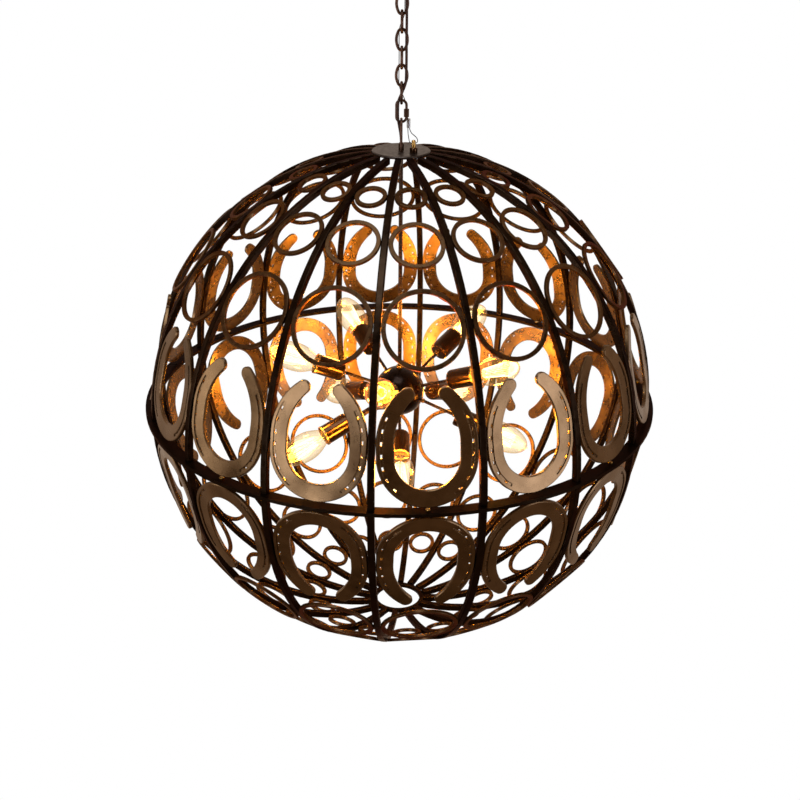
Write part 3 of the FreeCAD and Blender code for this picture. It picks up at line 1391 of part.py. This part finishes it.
on_arms("bulb_caps", turned_master("bulb_cap", [
    ("0", "Places.cap_back"), (CAP + " - 4", "Places.cap_back"), (CAP, "Places.cap_back + 4"),
    (CAP, "Places.cap_back + Sizes.cap_length"),
    (CAP + " - Sizes.cap_wall", "Places.cap_back + Sizes.cap_length"),
    (CAP + " - Sizes.cap_wall", "Places.cap_back + 4 + Sizes.cap_wall"),
    ("0", "Places.cap_back + 4 + Sizes.cap_wall")]).Shape)
on_arms("bulb_glass", bulb_glass_shape())
on_arms("bulb_mounts", turned_master("bulb_mount", [
    ("0", "Places.bulb_base"),
    ("Places.bulb_neck_inner - Sizes.nipple_clearance", "Places.bulb_base"),
    ("Places.bulb_neck_inner - Sizes.nipple_clearance", "Places.bulb_base + Sizes.mount_disc_height"),
    ("Sizes.mount_radius", "Places.bulb_base + Sizes.mount_disc_height"),
    ("Sizes.mount_rod_radius", "Places.bulb_base + Sizes.mount_height"),
    ("Sizes.mount_rod_radius", "Places.bulb_base + Sizes.mount_rod_height"),
    ("0", "Places.bulb_base + Sizes.mount_rod_height")]).Shape)
on_arms("bulb_filaments", filament_shape())

# ---------------------------------------------------------------- checks and export

doc.recompute()
for item in doc.Objects:
    assert "Invalid" not in item.State and "Error" not in item.State, "%s failed" % item.Name
names = [piece.Label for piece in NODES]
assert len(names) == len(set(names)), "two pieces share a name"
os.makedirs("parts", exist_ok=True)
for piece in NODES:
    shape = piece.Shape
    assert not shape.isNull() and shape.isValid(), "%s has no valid shape" % piece.Label
    print("%-20s %3d solids %12.1f mm3" % (piece.Label, len(shape.Solids), shape.Volume))
    shape.exportStep("parts/%s.step" % piece.Label)
print("%d pieces" % len(NODES))
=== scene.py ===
import math

import bpy
from mathutils import Matrix, Vector


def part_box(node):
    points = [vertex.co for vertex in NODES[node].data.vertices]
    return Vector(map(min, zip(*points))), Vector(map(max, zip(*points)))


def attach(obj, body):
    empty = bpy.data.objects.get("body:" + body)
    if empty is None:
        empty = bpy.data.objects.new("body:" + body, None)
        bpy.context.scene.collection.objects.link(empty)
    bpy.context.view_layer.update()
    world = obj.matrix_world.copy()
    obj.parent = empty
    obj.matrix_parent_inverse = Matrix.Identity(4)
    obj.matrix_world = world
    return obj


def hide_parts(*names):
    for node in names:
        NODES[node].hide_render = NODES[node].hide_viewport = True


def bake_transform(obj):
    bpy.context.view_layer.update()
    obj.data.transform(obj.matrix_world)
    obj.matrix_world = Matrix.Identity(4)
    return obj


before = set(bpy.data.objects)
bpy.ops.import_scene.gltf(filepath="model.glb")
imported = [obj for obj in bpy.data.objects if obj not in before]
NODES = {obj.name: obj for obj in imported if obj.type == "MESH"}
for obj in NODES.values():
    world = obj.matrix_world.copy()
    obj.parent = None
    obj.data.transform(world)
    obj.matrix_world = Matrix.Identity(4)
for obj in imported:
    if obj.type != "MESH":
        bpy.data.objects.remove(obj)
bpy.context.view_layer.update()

# The orb chandelier's looks, camera and light. Metres; Z up; the viewer stands on the -Y side.

# ---------------------------------------------------------------- places taken from the frame

GLOBE_CENTRE = Vector((0, 0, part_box("flange_ring_upper")[0][2]))
DISC_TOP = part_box("top_disc")[1][2]
HUB_RISE = 0.005
HUB_CENTRE = Vector((0, 0, GLOBE_CENTRE.z + HUB_RISE))


def direction(heading, elevation):
    """The unit vector for two angles in degrees. Heading 0 is the viewer's side, 90 the right."""
    turn, lift = math.radians(heading), math.radians(elevation)
    return Vector((math.cos(lift) * math.sin(turn), -math.cos(lift) * math.cos(turn),
                   math.sin(lift)))


def add_object(name, data):
    """An object in the scene for this mesh, light or camera."""
    thing = bpy.data.objects.new(name, data)
    bpy.context.scene.collection.objects.link(thing)
    return thing


# ---------------------------------------------------------------- camera

CAMERA_DISTANCE = 2.7457
CAMERA_ELEVATION = 24.35
CAMERA_ROLL = 0.395
CAMERA_REACH = 50
SENSOR_WIDTH = 36
IMAGE_WIDTH = 800
FOCAL_PIXELS = 1328.8
CENTRE_COLUMN = 399.5
CENTRE_ROW = 392.2


def add_camera():
    """A camera that looks at the centre of the globe from in front and above."""
    data = bpy.data.cameras.new("camera")
    data.sensor_width = SENSOR_WIDTH
    data.lens = SENSOR_WIDTH * FOCAL_PIXELS / IMAGE_WIDTH
    data.shift_x = (IMAGE_WIDTH / 2 - CENTRE_COLUMN) / IMAGE_WIDTH
    data.shift_y = (CENTRE_ROW - IMAGE_WIDTH / 2) / IMAGE_WIDTH
    data.clip_end = CAMERA_REACH
    camera = add_object("camera", data)
    away = direction(0, CAMERA_ELEVATION)
    place = Matrix.Translation(GLOBE_CENTRE + away * CAMERA_DISTANCE)
    tilt = Matrix.Rotation(math.pi / 2 - math.radians(CAMERA_ELEVATION), 4, "X")
    roll = Matrix.Rotation(math.radians(CAMERA_ROLL), 4, "Z")
    camera.matrix_world = place @ tilt @ roll
    bpy.context.scene.camera = camera


# ---------------------------------------------------------------- materials

# a Mix node's colour sockets by number, because its other sockets share their names
COLOUR_A, COLOUR_B, COLOUR_RESULT = 6, 7, 2

# edges are rounded in the shading with this many samples
BEVEL_SAMPLES = 4

# how much finer a metal's small patches are than its large ones
PATCH_RATIO = 5

# the depth that a bump of strength 1 stands for
METAL_GRAIN_DEPTH = 0.0004
MATT_GRAIN_DEPTH = 0.0003
WEAVE_DEPTH = 0.0002
WIRE_DEPTH = 0.0001

# the tint of bars seen at a grazing angle, which keeps them dark against the light
DULL_EDGE = (0.4, 0.27, 0.18)


class Shader:
    """A material's node tree with short calls for the nodes used here."""

    def __init__(self, name):
        self.material = bpy.data.materials.new(name)
        self.material.use_nodes = True
        self.nodes = self.material.node_tree.nodes
        self.links = self.material.node_tree.links
        self.nodes.clear()
        self.output = self.nodes.new("ShaderNodeOutputMaterial")
        self.coordinates = self.nodes.new("ShaderNodeTexCoord")

    def add(self, kind, **values):
        node = self.nodes.new("ShaderNode" + kind)
        for name, value in values.items():
            setattr(node, name, value)
        return node

    def feed(self, socket, value):
        """Sets an input to a constant, or links it to another node's output."""
        if isinstance(value, bpy.types.NodeSocket):
            self.links.new(value, socket)
        elif isinstance(value, tuple) and len(value) == 3 and len(socket.default_value) == 4:
            socket.default_value = (*value, 1)
        else:
            socket.default_value = value

    def noise(self, scale, detail=6.0, roughness=0.6, stretch=(1, 1, 1)):
        mapping = self.add("Mapping")
        mapping.inputs["Scale"].default_value = stretch
        self.links.new(self.coordinates.outputs["Object"], mapping.inputs["Vector"])
        noise = self.add("TexNoise")
        self.links.new(mapping.outputs["Vector"], noise.inputs["Vector"])
        noise.inputs["Scale"].default_value = scale
        noise.inputs["Detail"].default_value = detail
        noise.inputs["Roughness"].default_value = roughness
        return noise.outputs["Fac"]

    def remap(self, value, low, high, from_low=0.3, from_high=0.7):
        """Carries a range, by default that of a noise, to another one, and clips it there."""
        node = self.add("MapRange")
        self.feed(node.inputs["Value"], value)
        node.inputs["From Min"].default_value = from_low
        node.inputs["From Max"].default_value = from_high
        node.inputs["To Min"].default_value = low
        node.inputs["To Max"].default_value = high
        return node.outputs["Result"]

    def mix(self, factor, first, second):
        node = self.add("Mix", data_type="RGBA")
        self.feed(node.inputs["Factor"], factor)
        self.feed(node.inputs[COLOUR_A], first)
        self.feed(node.inputs[COLOUR_B], second)
        return node.outputs[COLOUR_RESULT]

    def math(self, operation, *values):
        node = self.add("Math", operation=operation)
        for socket, value in zip(node.inputs, values):
            self.feed(socket, value)
        return node.outputs["Value"]

    def bump(self, height, strength, distance, normal=None):
        node = self.add("Bump")
        self.feed(node.inputs["Height"], height)
        node.inputs["Strength"].default_value = strength
        node.inputs["Distance"].default_value = distance
        if normal is not None:
            self.links.new(normal, node.inputs["Normal"])
        return node.outputs["Normal"]

    def rounded(self, radius):
        node = self.add("Bevel", samples=BEVEL_SAMPLES)
        node.inputs["Radius"].default_value = radius
        return node.outputs["Normal"]

    def clear(self, colour):
        node = self.add("BsdfTransparent")
        self.feed(node.inputs["Color"], colour)
        return node.outputs["BSDF"]

    def glow(self, colour, strength):
        node = self.add("Emission")
        self.feed(node.inputs["Color"], colour)
        self.feed(node.inputs["Strength"], strength)
        return node.outputs["Emission"]

    def total(self, first, second):
        node = self.add("AddShader")
        self.links.new(first, node.inputs[0])
        self.links.new(second, node.inputs[1])
        return node.outputs["Shader"]

    def finish(self, shader):
        self.links.new(shader, self.output.inputs["Surface"])
        return self.material

    def surface(self, tone, roughness, normal, metallic=0.0, edge=None):
        """Ends the material as an opaque surface."""
        principled = self.add("BsdfPrincipled")
        self.feed(principled.inputs["Base Color"], tone)
        self.feed(principled.inputs["Roughness"], roughness)
        self.feed(principled.inputs["Normal"], normal)
        principled.inputs["Metallic"].default_value = metallic
        if edge is not None:
            self.feed(principled.inputs["Specular Tint"], edge)
        return self.finish(principled.outputs["BSDF"])


def metal(name, dark, light, metallic, roughness, patches, spread=0.08, grain=420.0,
          relief=0.25, rounding=0.0012, scratches=0.0, edge=None, waves=0.0):
    """A finished metal: two tones in soft patches, uneven gloss, fine grain and rounded edges.

    patches and grain are noise scales, spread is how far the gloss strays either way, relief the
    strength of the grain, rounding the radius of the edges, scratches the strength of drawn-out
    lines that replace the grain, edge the tint at grazing angles, and waves the depth of dents.
    """
    shader = Shader(name)
    large = shader.noise(patches, detail=5)
    middle = shader.noise(patches * PATCH_RATIO, detail=4, roughness=0.55)
    tone = shader.mix(shader.remap(large, 0, 1), dark, light)
    tone = shader.mix(shader.remap(middle, 0, 0.5, 0.45, 0.75), tone, light)
    if scratches:
        height = shader.noise(60, detail=8, roughness=0.75, stretch=(1, 1, 0.06))
        tone = shader.mix(shader.remap(height, 0, scratches, 0.5, 0.7), tone, light)
    else:
        height = shader.noise(grain, detail=3)
    normal = shader.rounded(rounding) if rounding else None
    if waves:
        normal = shader.bump(shader.noise(patches, detail=1), 1.0, waves, normal)
    return shader.surface(tone, shader.remap(middle, roughness - spread, roughness + spread),
                          shader.bump(height, relief, METAL_GRAIN_DEPTH, normal), metallic, edge)


def matt(name, dark, light, smoothest, roughest, grain, relief):
    """A dull, finely grained surface for rubber and ceramic."""
    shader = Shader(name)
    noise = shader.noise(grain)
    return shader.surface(shader.mix(shader.remap(noise, 0, 1), dark, light),
                          shader.remap(noise, smoothest, roughest),
                          shader.bump(noise, relief, MATT_GRAIN_DEPTH))


def bulb_glass():
    """Thin clear glass, amber where it is seen edge-on, with a faint painted warm glow on the glass
    itself, brightest face-on, in place of the wire's light.
    """
    shader = Shader("bulb_glass")
    weight = shader.add("LayerWeight")
    weight.inputs["Blend"].default_value = 0.35
    edge = weight.outputs["Facing"]
    streaks = shader.noise(90, detail=3, stretch=(1, 1, 0.4))
    clear = shader.clear(shader.mix(shader.remap(edge, 0, 1, 0.45, 1.0),
                                    (0.987, 0.95, 0.87), (0.93, 0.79, 0.6)))
    gloss = shader.add("BsdfGlossy")
    shader.feed(gloss.inputs["Color"], (1.0, 0.97, 0.92))
    shader.feed(gloss.inputs["Roughness"], shader.remap(streaks, 0.02, 0.09))
    surface = shader.add("MixShader")
    shader.feed(surface.inputs["Fac"], shader.remap(edge, 0.03, 0.3, 0.2, 1.0))
    shader.links.new(clear, surface.inputs[1])
    shader.links.new(gloss.outputs["BSDF"], surface.inputs[2])
    # painted glow: the glass gives off warm light of its own, strongest where it faces the camera,
    # in place of the lit wire's glow
    glow = shader.glow((1.0, 0.62, 0.2), shader.remap(edge, 0.04, 0.01, 0.0, 0.9))
    return shader.finish(shader.total(surface.outputs["Shader"], glow))


def mount_glass():
    """The glass stem that carries the filament, with a painted warm glow of its own in place of the
    wire's light.
    """
    shader = Shader("mount_glass")
    # painted glow: the stem glass gives off uneven light of its own, in place of the lit wire's
    # light in it
    strength = shader.remap(shader.noise(200, detail=3), 0.02, 0.08)
    return shader.finish(shader.total(shader.clear((1.0, 0.93, 0.8)),
                                      shader.glow((1.0, 0.68, 0.28), strength)))


def filament_glow():
    """The glowing wire, uneven along its length."""
    shader = Shader("glowing_filament")
    beads = shader.noise(500, detail=2)
    colour = shader.mix(shader.remap(beads, 0, 1), (1.0, 0.72, 0.34), (1.0, 0.85, 0.55))
    return shader.finish(shader.glow(colour, shader.remap(beads, 2.5, 5.0)))


def paint(material, *names):
    for name in names:
        NODES[name].data.materials.clear()
        NODES[name].data.materials.append(material)


def dress_frame():
    """Gives every piece its finish."""
    rib = metal("rib_bar", (0.011, 0.007, 0.0045), (0.038, 0.024, 0.015), metallic=0.9,
                roughness=0.3, patches=14, relief=0.04, rounding=0, edge=DULL_EDGE)
    ring = metal("ring_bar", (0.066, 0.038, 0.017), (0.16, 0.095, 0.048), metallic=0.9,
                 roughness=0.3, patches=16, relief=0.04, edge=DULL_EDGE)
    shoe = metal("horseshoe_iron", (0.095, 0.057, 0.026), (0.25, 0.165, 0.09), metallic=0.95,
                 roughness=0.28, patches=8, spread=0.04, relief=0.03, waves=0.009)
    flange = metal("flange_bar", (0.01, 0.0065, 0.004), (0.032, 0.021, 0.013), metallic=0.9,
                   roughness=0.36, patches=18, relief=0.04, edge=DULL_EDGE)
    disc = metal("disc_plate", (0.04, 0.033, 0.03), (0.096, 0.082, 0.078), metallic=0.85,
                 roughness=0.38, patches=30, scratches=0.5)
    chain = metal("chain_wire", (0.06, 0.034, 0.025), (0.17, 0.1, 0.075), metallic=0.75,
                  roughness=0.34, patches=40, grain=900, rounding=0)
    ball = metal("ball_skin", (0.009, 0.005, 0.004), (0.038, 0.025, 0.021), metallic=0.9,
                 roughness=0.18, patches=22, relief=0.3, rounding=0)
    cover = metal("cover_bronze", (0.05, 0.026, 0.014), (0.11, 0.06, 0.03), metallic=0.95,
                  roughness=0.2, patches=20, spread=0.04, relief=0.05, rounding=0.0006)
    arm = metal("arm_bronze", (0.035, 0.021, 0.014), (0.085, 0.054, 0.038), metallic=0.9,
                roughness=0.26, patches=30, relief=0.1, rounding=0)
    brass = metal("brass", (0.42, 0.25, 0.06), (0.75, 0.5, 0.18), metallic=1.0,
                  roughness=0.25, patches=50, rounding=0.0005)
    zinc = metal("plated_steel", (0.3, 0.3, 0.3), (0.55, 0.55, 0.55), metallic=1.0,
                 roughness=0.35, patches=60, rounding=0.0005)
    ferrule = metal("ferrule_alloy", (0.4, 0.45, 0.52), (0.62, 0.67, 0.74), metallic=0.9,
                    roughness=0.4, patches=80, rounding=0.0005)
    rubber = matt("gland_rubber", (0.02, 0.02, 0.02), (0.045, 0.043, 0.04), smoothest=0.6,
                  roughest=0.8, grain=900, relief=0.3)
    holder = matt("holder", (0.16, 0.11, 0.06), (0.3, 0.22, 0.13), smoothest=0.4,
                  roughest=0.6, grain=300, relief=0.2)
    for half in ("upper", "lower"):
        paint(rib, "ribs_" + half)
        paint(shoe, "horseshoes_" + half)
        paint(flange, "flange_ring_" + half)
        paint(ring, *["rings_%s_%s" % (row, half) for row in ("large", "medium", "small")])
    paint(rib, "bottom_ring")
    paint(disc, "top_disc")
    paint(chain, *["chain_link_%d" % number for number in range(1, LINKS + 1)])
    paint(chain, "quick_link_body", "quick_link_sleeve", "hanging_loop", "ceiling_loop")
    paint(cover, "socket_covers", "ceiling_canopy", "canopy_ring_nut", "stem_collar",
          "cable_anchor_base")
    paint(arm, "arm_tubes", "stem_tube")
    paint(ball, "hub_ball")
    paint(brass, "socket_rims", "arm_ball_collars", "arm_socket_collars", "bulb_caps",
          "cable_anchor_eye", "flange_bolts", "flange_nuts", "stem_ball_nut")
    paint(zinc, "mounting_crossbar", "threaded_nipple", "nipple_lock_nut", "hanging_loop_nuts",
          "stem_disc_nut", "stem_inner_nut", "arm_lock_nuts")
    paint(ferrule, "cable_ferrule")
    paint(rubber, "cord_gland", "cable_gland")
    paint(holder, "socket_bodies")
    paint(bulb_glass(), "bulb_glass")
    paint(mount_glass(), "bulb_mounts")
    paint(filament_glow(), "bulb_filaments")


# ---------------------------------------------------------------- cord and cable

LINKS = 7
LINK_PITCH = 0.0326

# heights: the middle of the lowest chain link and of the quick link, the top of the hanging loop,
# the canopy's underside, and where the ceiling fitting lets a cord go and the globe takes it over
LAST_LINK = -0.27375
QUICK_LINK = -0.3079
LOOP_TOP = -0.3231
CANOPY_LOW = -0.028
CEILING_HOLD = -0.045
GLOBE_HOLD = -0.345

# heights over the ferrule between which the safety cable makes its last bend
CABLE_BEND_HIGH = 0.0055
CABLE_BEND_LOW = 0.0005

CORD_RADIUS = 0.0025
CABLE_RADIUS = 0.0008
TUBE_SIDES = 24
CURVE_STEPS = 16

# the cable's six strands, as three pairs: how far out their grooves and crowns lie, as shares of
# the cable's radius, and how many radians they turn in a metre
STRAND_PAIRS = 3
STRAND_GROOVE = 0.84
STRAND_RISE = 0.16
STRAND_TWIST = 900


def from_disc(x, y, rise):
    return (x, y, DISC_TOP + rise)


def beside_links(x, y, first, last, sway):
    """Points beside the chain, one at every joint between two links, swaying a little."""
    points = []
    for number in range(first, last - 1, -1):
        side = sway if number % 2 else -sway
        points.append((x + side, y + side / 2, LAST_LINK + (number - 1) * LINK_PITCH))
    return points


CORD_ROUTE = [(0.018, -0.010, CANOPY_LOW + 0.014), (0.018, -0.010, CANOPY_LOW - 0.010)]
CORD_ROUTE += beside_links(0.0086, -0.0066, LINKS, 2, 0.00025)
CORD_ROUTE += [(0.0081, -0.0060, LAST_LINK + 0.019), (0, -0.0037, LAST_LINK - 0.0012),
               (-0.0062, -0.0052, LAST_LINK - 0.0134), (-0.0068, -0.0076, QUICK_LINK + 0.0037),
               (-0.0067, -0.0063, LOOP_TOP + 0.0037), from_disc(-0.0044, -0.0052, 0.0486),
               from_disc(0, 0, 0.024), from_disc(0, 0, 0.006)]

# the cable crosses from one side of the chain to the other at this height
CROSSING = LAST_LINK + 4 * LINK_PITCH
CABLE_ROUTE = [(0.015, 0.011, CANOPY_LOW + 0.014), (0.015, 0.011, CANOPY_LOW - 0.008)]
CABLE_ROUTE += beside_links(0.0051, 0.0047, LINKS, 6, 0.00015)
CABLE_ROUTE += [(0.0051, 0.0047, CROSSING + 0.010), (-0.0051, 0.0047, CROSSING - 0.010)]
CABLE_ROUTE += beside_links(-0.0051, 0.0047, 4, 2, 0.00015)
CABLE_ROUTE += [(-0.0051, 0.0047, LAST_LINK + 0.010), (0.0051, 0.0049, LAST_LINK - 0.010),
                (0.0090, 0.0064, QUICK_LINK + 0.009), from_disc(0.0124, 0.0072, 0.061),
                from_disc(0.0124, 0.0072, 0.0495)]

LOOP_ROUTE = [from_disc(0.0124, 0.0072, 0.049), from_disc(0.0124, 0.0072, 0.033),
              from_disc(0.0140, -0.0120, 0.026), from_disc(0.0160, -0.0220, 0.018),
              from_disc(0.0310, -0.0220, 0.018), from_disc(0.0310, -0.0120, 0.026),
              from_disc(0.0148, 0.0072, 0.033), from_disc(0.0148, 0.0072, 0.049)]


def smooth_line(route):
    """The points of a NURBS spline along a route."""
    curve = bpy.data.curves.new("route", "CURVE")
    curve.dimensions = "3D"
    curve.resolution_u = CURVE_STEPS
    spline = curve.splines.new("NURBS")
    spline.points.add(len(route) - 1)
    for control, point in zip(spline.points, route):
        control.co = (*point, 1)
    spline.order_u = 3
    spline.use_endpoint_u = True
    holder = bpy.data.objects.new("route", curve)
    mesh = bpy.data.meshes.new_from_object(holder)
    line = [vertex.co.copy() for vertex in mesh.vertices]
    bpy.data.objects.remove(holder)
    bpy.data.curves.remove(curve)
    bpy.data.meshes.remove(mesh)
    return line


def cut_at(line, heights):
    """The line with a point added wherever it passes one of the heights on its way down."""
    cut = [line[0]]
    for point in line[1:]:
        before = cut[-1]
        for height in heights:
            if point.z < height < before.z:
                cut.append(before.lerp(point, (before.z - height) / (before.z - point.z)))
        cut.append(point)
    return cut


def tube_rings(line, radius, lay):
    """Circles of points along a line, carried along it without twist; lay shapes each circle."""
    rings = []
    travel = 0.0
    across = Vector((1, 0, 0))
    for number, point in enumerate(line):
        ahead = line[min(number + 1, len(line) - 1)] - line[max(number - 1, 0)]
        ahead.normalize()
        across = (across - ahead * across.dot(ahead)).normalized()
        side = ahead.cross(across)
        if number:
            travel += (point - line[number - 1]).length
        ring = []
        for step in range(TUBE_SIDES):
            angle = math.tau * step / TUBE_SIDES
            reach = radius * lay(angle, travel)
            ring.append(point + across * math.cos(angle) * reach + side * math.sin(angle) * reach)
        rings.append((ring, travel))
    return rings


def tube_piece(name, rings, radius, material, closed):
    """A tube through rings, with its turn and its run as a UV map; closed caps its two ends."""
    around = math.tau * radius
    points = [point for ring, _ in rings for point in ring]
    faces, places = [], []
    for row, ((_, near), (_, far)) in enumerate(zip(rings, rings[1:])):
        here, below = row * TUBE_SIDES, (row + 1) * TUBE_SIDES
        for step in range(TUBE_SIDES):
            after = (step + 1) % TUBE_SIDES
            faces.append((here + step, here + after, below + after, below + step))
            low, high = step / TUBE_SIDES, (step + 1) / TUBE_SIDES
            places += [(low, near / around), (high, near / around), (high, far / around),
                       (low, far / around)]
    for end, row in ((closed[0], 0), (closed[1], len(rings) - 1)):
        if end:
            faces.append(tuple(row * TUBE_SIDES + step for step in range(TUBE_SIDES)))
            places += [(0, 0)] * TUBE_SIDES
    mesh = bpy.data.meshes.new(name)
    mesh.from_pydata(points, [], faces)
    layer = mesh.uv_layers.new(name="run")
    for loop, place in zip(layer.data, places):
        loop.uv = place
    mesh.polygons.foreach_set("use_smooth", [True] * len(faces))
    mesh.materials.append(material)
    piece = add_object(name, mesh)
    return piece


def middle(node):
    """The height of a piece's middle."""
    low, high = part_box(node)
    return (low[2] + high[2]) / 2


def hung_cord(node, route, radius, lay, material, last_bend):
    """A cord beside the chain, in one piece per joint, cut where the route passes the middle
    heights of the links and the quick link.

    last_bend's heights are not used; the last piece runs from the quick link to the route's end.
    """
    holders = [("ceiling_fitting", CEILING_HOLD)]
    holders += [("link_%d" % number, middle("chain_link_%d" % number))
                for number in range(LINKS, 0, -1)]
    holders += [("quick_link", middle("quick_link_body")), ("globe", last_bend[1])]
    heights = [height for _, height in holders[1:-1]]
    rings = tube_rings(cut_at(smooth_line(route), heights), radius, lay)
    levels = [sum(point.z for point in ring) / TUBE_SIDES for ring, _ in rings]
    cuts = [0] + [min(range(len(levels)), key=lambda row: abs(levels[row] - height))
                  for height in heights]
    cuts.append(len(rings) - 1)
    for number, (above, below) in enumerate(zip(holders, holders[1:])):
        first, last = cuts[number], cuts[number + 1]
        piece = tube_piece("%s_span_%d" % (node, number + 1), rings[first:last + 1], radius,
                           material, (number == 0, number == len(holders) - 2))
        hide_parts(node)
        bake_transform(piece)


def round_lay(angle, travel):
    """A plain round section."""
    return 1.0


def strand_lay(angle, travel):
    """Six strands laid round each other."""
    return STRAND_GROOVE + STRAND_RISE * abs(
        math.cos(STRAND_PAIRS * (angle - STRAND_TWIST * travel)))


def stripes(shader, around, along):
    """Slanting stripes on a tube, a whole number of them round it."""
    split = shader.add("SeparateXYZ")
    shader.links.new(shader.coordinates.outputs["UV"], split.inputs["Vector"])
    turn = shader.math("MULTIPLY", split.outputs["X"], around * math.tau)
    run = shader.math("MULTIPLY_ADD", split.outputs["Y"], along * math.tau, turn)
    return shader.math("SINE", run)


def braided_jacket():
    """A woven sleeve: threads that cross in two directions, with painted shade in the gaps between
    them.
    """
    shader = Shader("braided_jacket")
    weave = shader.math("MAXIMUM", stripes(shader, 8, 8), stripes(shader, 8, -8))
    worn = shader.noise(160, detail=4)
    thread = shader.mix(shader.remap(worn, 0, 1), (0.045, 0.018, 0.012), (0.11, 0.045, 0.03))
    # painted shade: the near-black colour fills the low parts of the weave, the recesses between
    # the threads
    tone = shader.mix(shader.remap(weave, 0, 1, -0.2, 0.9), (0.012, 0.005, 0.004), thread)
    return shader.surface(tone, shader.remap(worn, 0.5, 0.75),
                          shader.bump(weave, 0.6, WEAVE_DEPTH))


def cable_strand():
    """Steel strands, greyed, with fine wires along each."""
    shader = Shader("cable_strand")
    wires = stripes(shader, 24, -8)
    grime = shader.noise(260, detail=4)
    tone = shader.mix(shader.remap(grime, 0, 1), (0.03, 0.034, 0.042), (0.13, 0.145, 0.17))
    return shader.surface(tone, shader.remap(grime, 0.28, 0.45),
                          shader.bump(wires, 0.3, WIRE_DEPTH), metallic=0.9)


def add_cords():
    """The supply cord and the safety cable down the chain, and the cable's loop at the disc."""
    strand = cable_strand()
    ferrule_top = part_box("cable_ferrule")[1][2]
    hung_cord("supply_cord", CORD_ROUTE, CORD_RADIUS, round_lay, braided_jacket(),
              (QUICK_LINK, GLOBE_HOLD))
    hung_cord("safety_cable", CABLE_ROUTE, CABLE_RADIUS, strand_lay, strand,
              (ferrule_top + CABLE_BEND_HIGH, ferrule_top + CABLE_BEND_LOW))
    rings = tube_rings(smooth_line(LOOP_ROUTE), CABLE_RADIUS, strand_lay)
    loop = tube_piece("safety_cable_eye_loop", rings, CABLE_RADIUS, strand,
                      (True, True))
    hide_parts("safety_cable_loop")
    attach(loop, "globe")


# ---------------------------------------------------------------- light

# the arms' elevation and their headings in degrees, as direction takes them
UPPER_ARMS = (22.5, (-151.0, -80.0, -10.0, 61.0, 137.0))
LOWER_ARMS = (-20.5, (-143.0, -61.0, 0.5, 77.0, 144.5))

# the lamp in each bulb: its distance from the middle of the ball, power, colour and radius
BULB_REACH = 0.234
BULB_POWER = 3.5
BULB_COLOUR = (1.0, 0.42, 0.05)
BULB_LIGHT_RADIUS = 0.026

# the studio lights: name, heading, elevation, width, height, power and colour
SOFTBOX_DISTANCE = 3.0
SOFTBOXES = (("softbox_right", 58, 2, 0.9, 1.8, 16, (1.0, 0.97, 1.05)),
             ("softbox_left", -38, 0, 0.55, 1.6, 14, (1.0, 0.97, 1.0)),
             ("softbox_side", -82, 4, 0.8, 1.6, 9, (1.0, 0.92, 0.84)),
             ("softbox_top", -20, 70, 1.6, 1.6, 22, (1, 1, 1)))

# the room's light rises from front to back: where along Y, how strong, and in which colours
ROOM_FRONT, ROOM_BACK = -0.2, 0.9
ROOM_DIM, ROOM_BRIGHT = 0.17, 0.68
ROOM_WARM, ROOM_WHITE = (1.0, 0.5, 0.16, 1), (1.0, 0.95, 0.9, 1)


def add_bulb_lights():
    """A warm lamp inside every bulb."""
    for elevation, headings in (UPPER_ARMS, LOWER_ARMS):
        for heading in headings:
            data = bpy.data.lights.new("bulb_light", "POINT")
            data.energy = BULB_POWER
            data.color = BULB_COLOUR
            data.shadow_soft_size = BULB_LIGHT_RADIUS
            light = add_object("bulb_light", data)
            light.location = HUB_CENTRE + direction(heading, elevation) * BULB_REACH
            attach(light, "globe")


def add_softbox(name, heading, elevation, width, height, power, colour):
    """A rectangular studio light that faces the globe."""
    outward = direction(heading, elevation)
    data = bpy.data.lights.new(name, "AREA")
    data.shape = "RECTANGLE"
    data.size, data.size_y = width, height
    data.energy = power
    data.color = colour
    light = add_object(name, data)
    light.location = GLOBE_CENTRE + outward * SOFTBOX_DISTANCE
    light.rotation_euler = (-outward).to_track_quat("-Z", "Y").to_euler()
    light.visible_camera = False


def set_world():
    """White to the camera; to the object, a bright wall behind it and a dim room in front."""
    world = bpy.data.worlds.new("world")
    bpy.context.scene.world = world
    world.use_nodes = True
    nodes, links = world.node_tree.nodes, world.node_tree.links
    nodes.clear()
    sky = nodes.new("ShaderNodeTexCoord")
    split = nodes.new("ShaderNodeSeparateXYZ")
    links.new(sky.outputs["Generated"], split.inputs["Vector"])
    ramp = nodes.new("ShaderNodeMapRange")
    links.new(split.outputs["Y"], ramp.inputs["Value"])
    ramp.inputs["From Min"].default_value = ROOM_FRONT
    ramp.inputs["From Max"].default_value = ROOM_BACK
    ramp.inputs["To Min"].default_value = ROOM_DIM
    ramp.inputs["To Max"].default_value = ROOM_BRIGHT
    tint = nodes.new("ShaderNodeMix")
    tint.data_type = "RGBA"
    links.new(ramp.outputs["Result"], tint.inputs["Factor"])
    tint.inputs[COLOUR_A].default_value = ROOM_WARM
    tint.inputs[COLOUR_B].default_value = ROOM_WHITE
    room = nodes.new("ShaderNodeBackground")
    links.new(ramp.outputs["Result"], room.inputs["Strength"])
    links.new(tint.outputs[COLOUR_RESULT], room.inputs["Color"])
    backdrop = nodes.new("ShaderNodeBackground")
    backdrop.inputs["Color"].default_value = (1, 1, 1, 1)
    backdrop.inputs["Strength"].default_value = 1
    path = nodes.new("ShaderNodeLightPath")
    mix = nodes.new("ShaderNodeMixShader")
    output = nodes.new("ShaderNodeOutputWorld")
    links.new(path.outputs["Is Camera Ray"], mix.inputs["Fac"])
    links.new(room.outputs["Background"], mix.inputs[1])
    links.new(backdrop.outputs["Background"], mix.inputs[2])
    links.new(mix.outputs["Shader"], output.inputs["Surface"])


# ---------------------------------------------------------------- the scene

dress_frame()
add_cords()
add_bulb_lights()
for softbox in SOFTBOXES:
    add_softbox(*softbox)
set_world()
add_camera()
bpy.context.scene.view_settings.view_transform = "Standard"
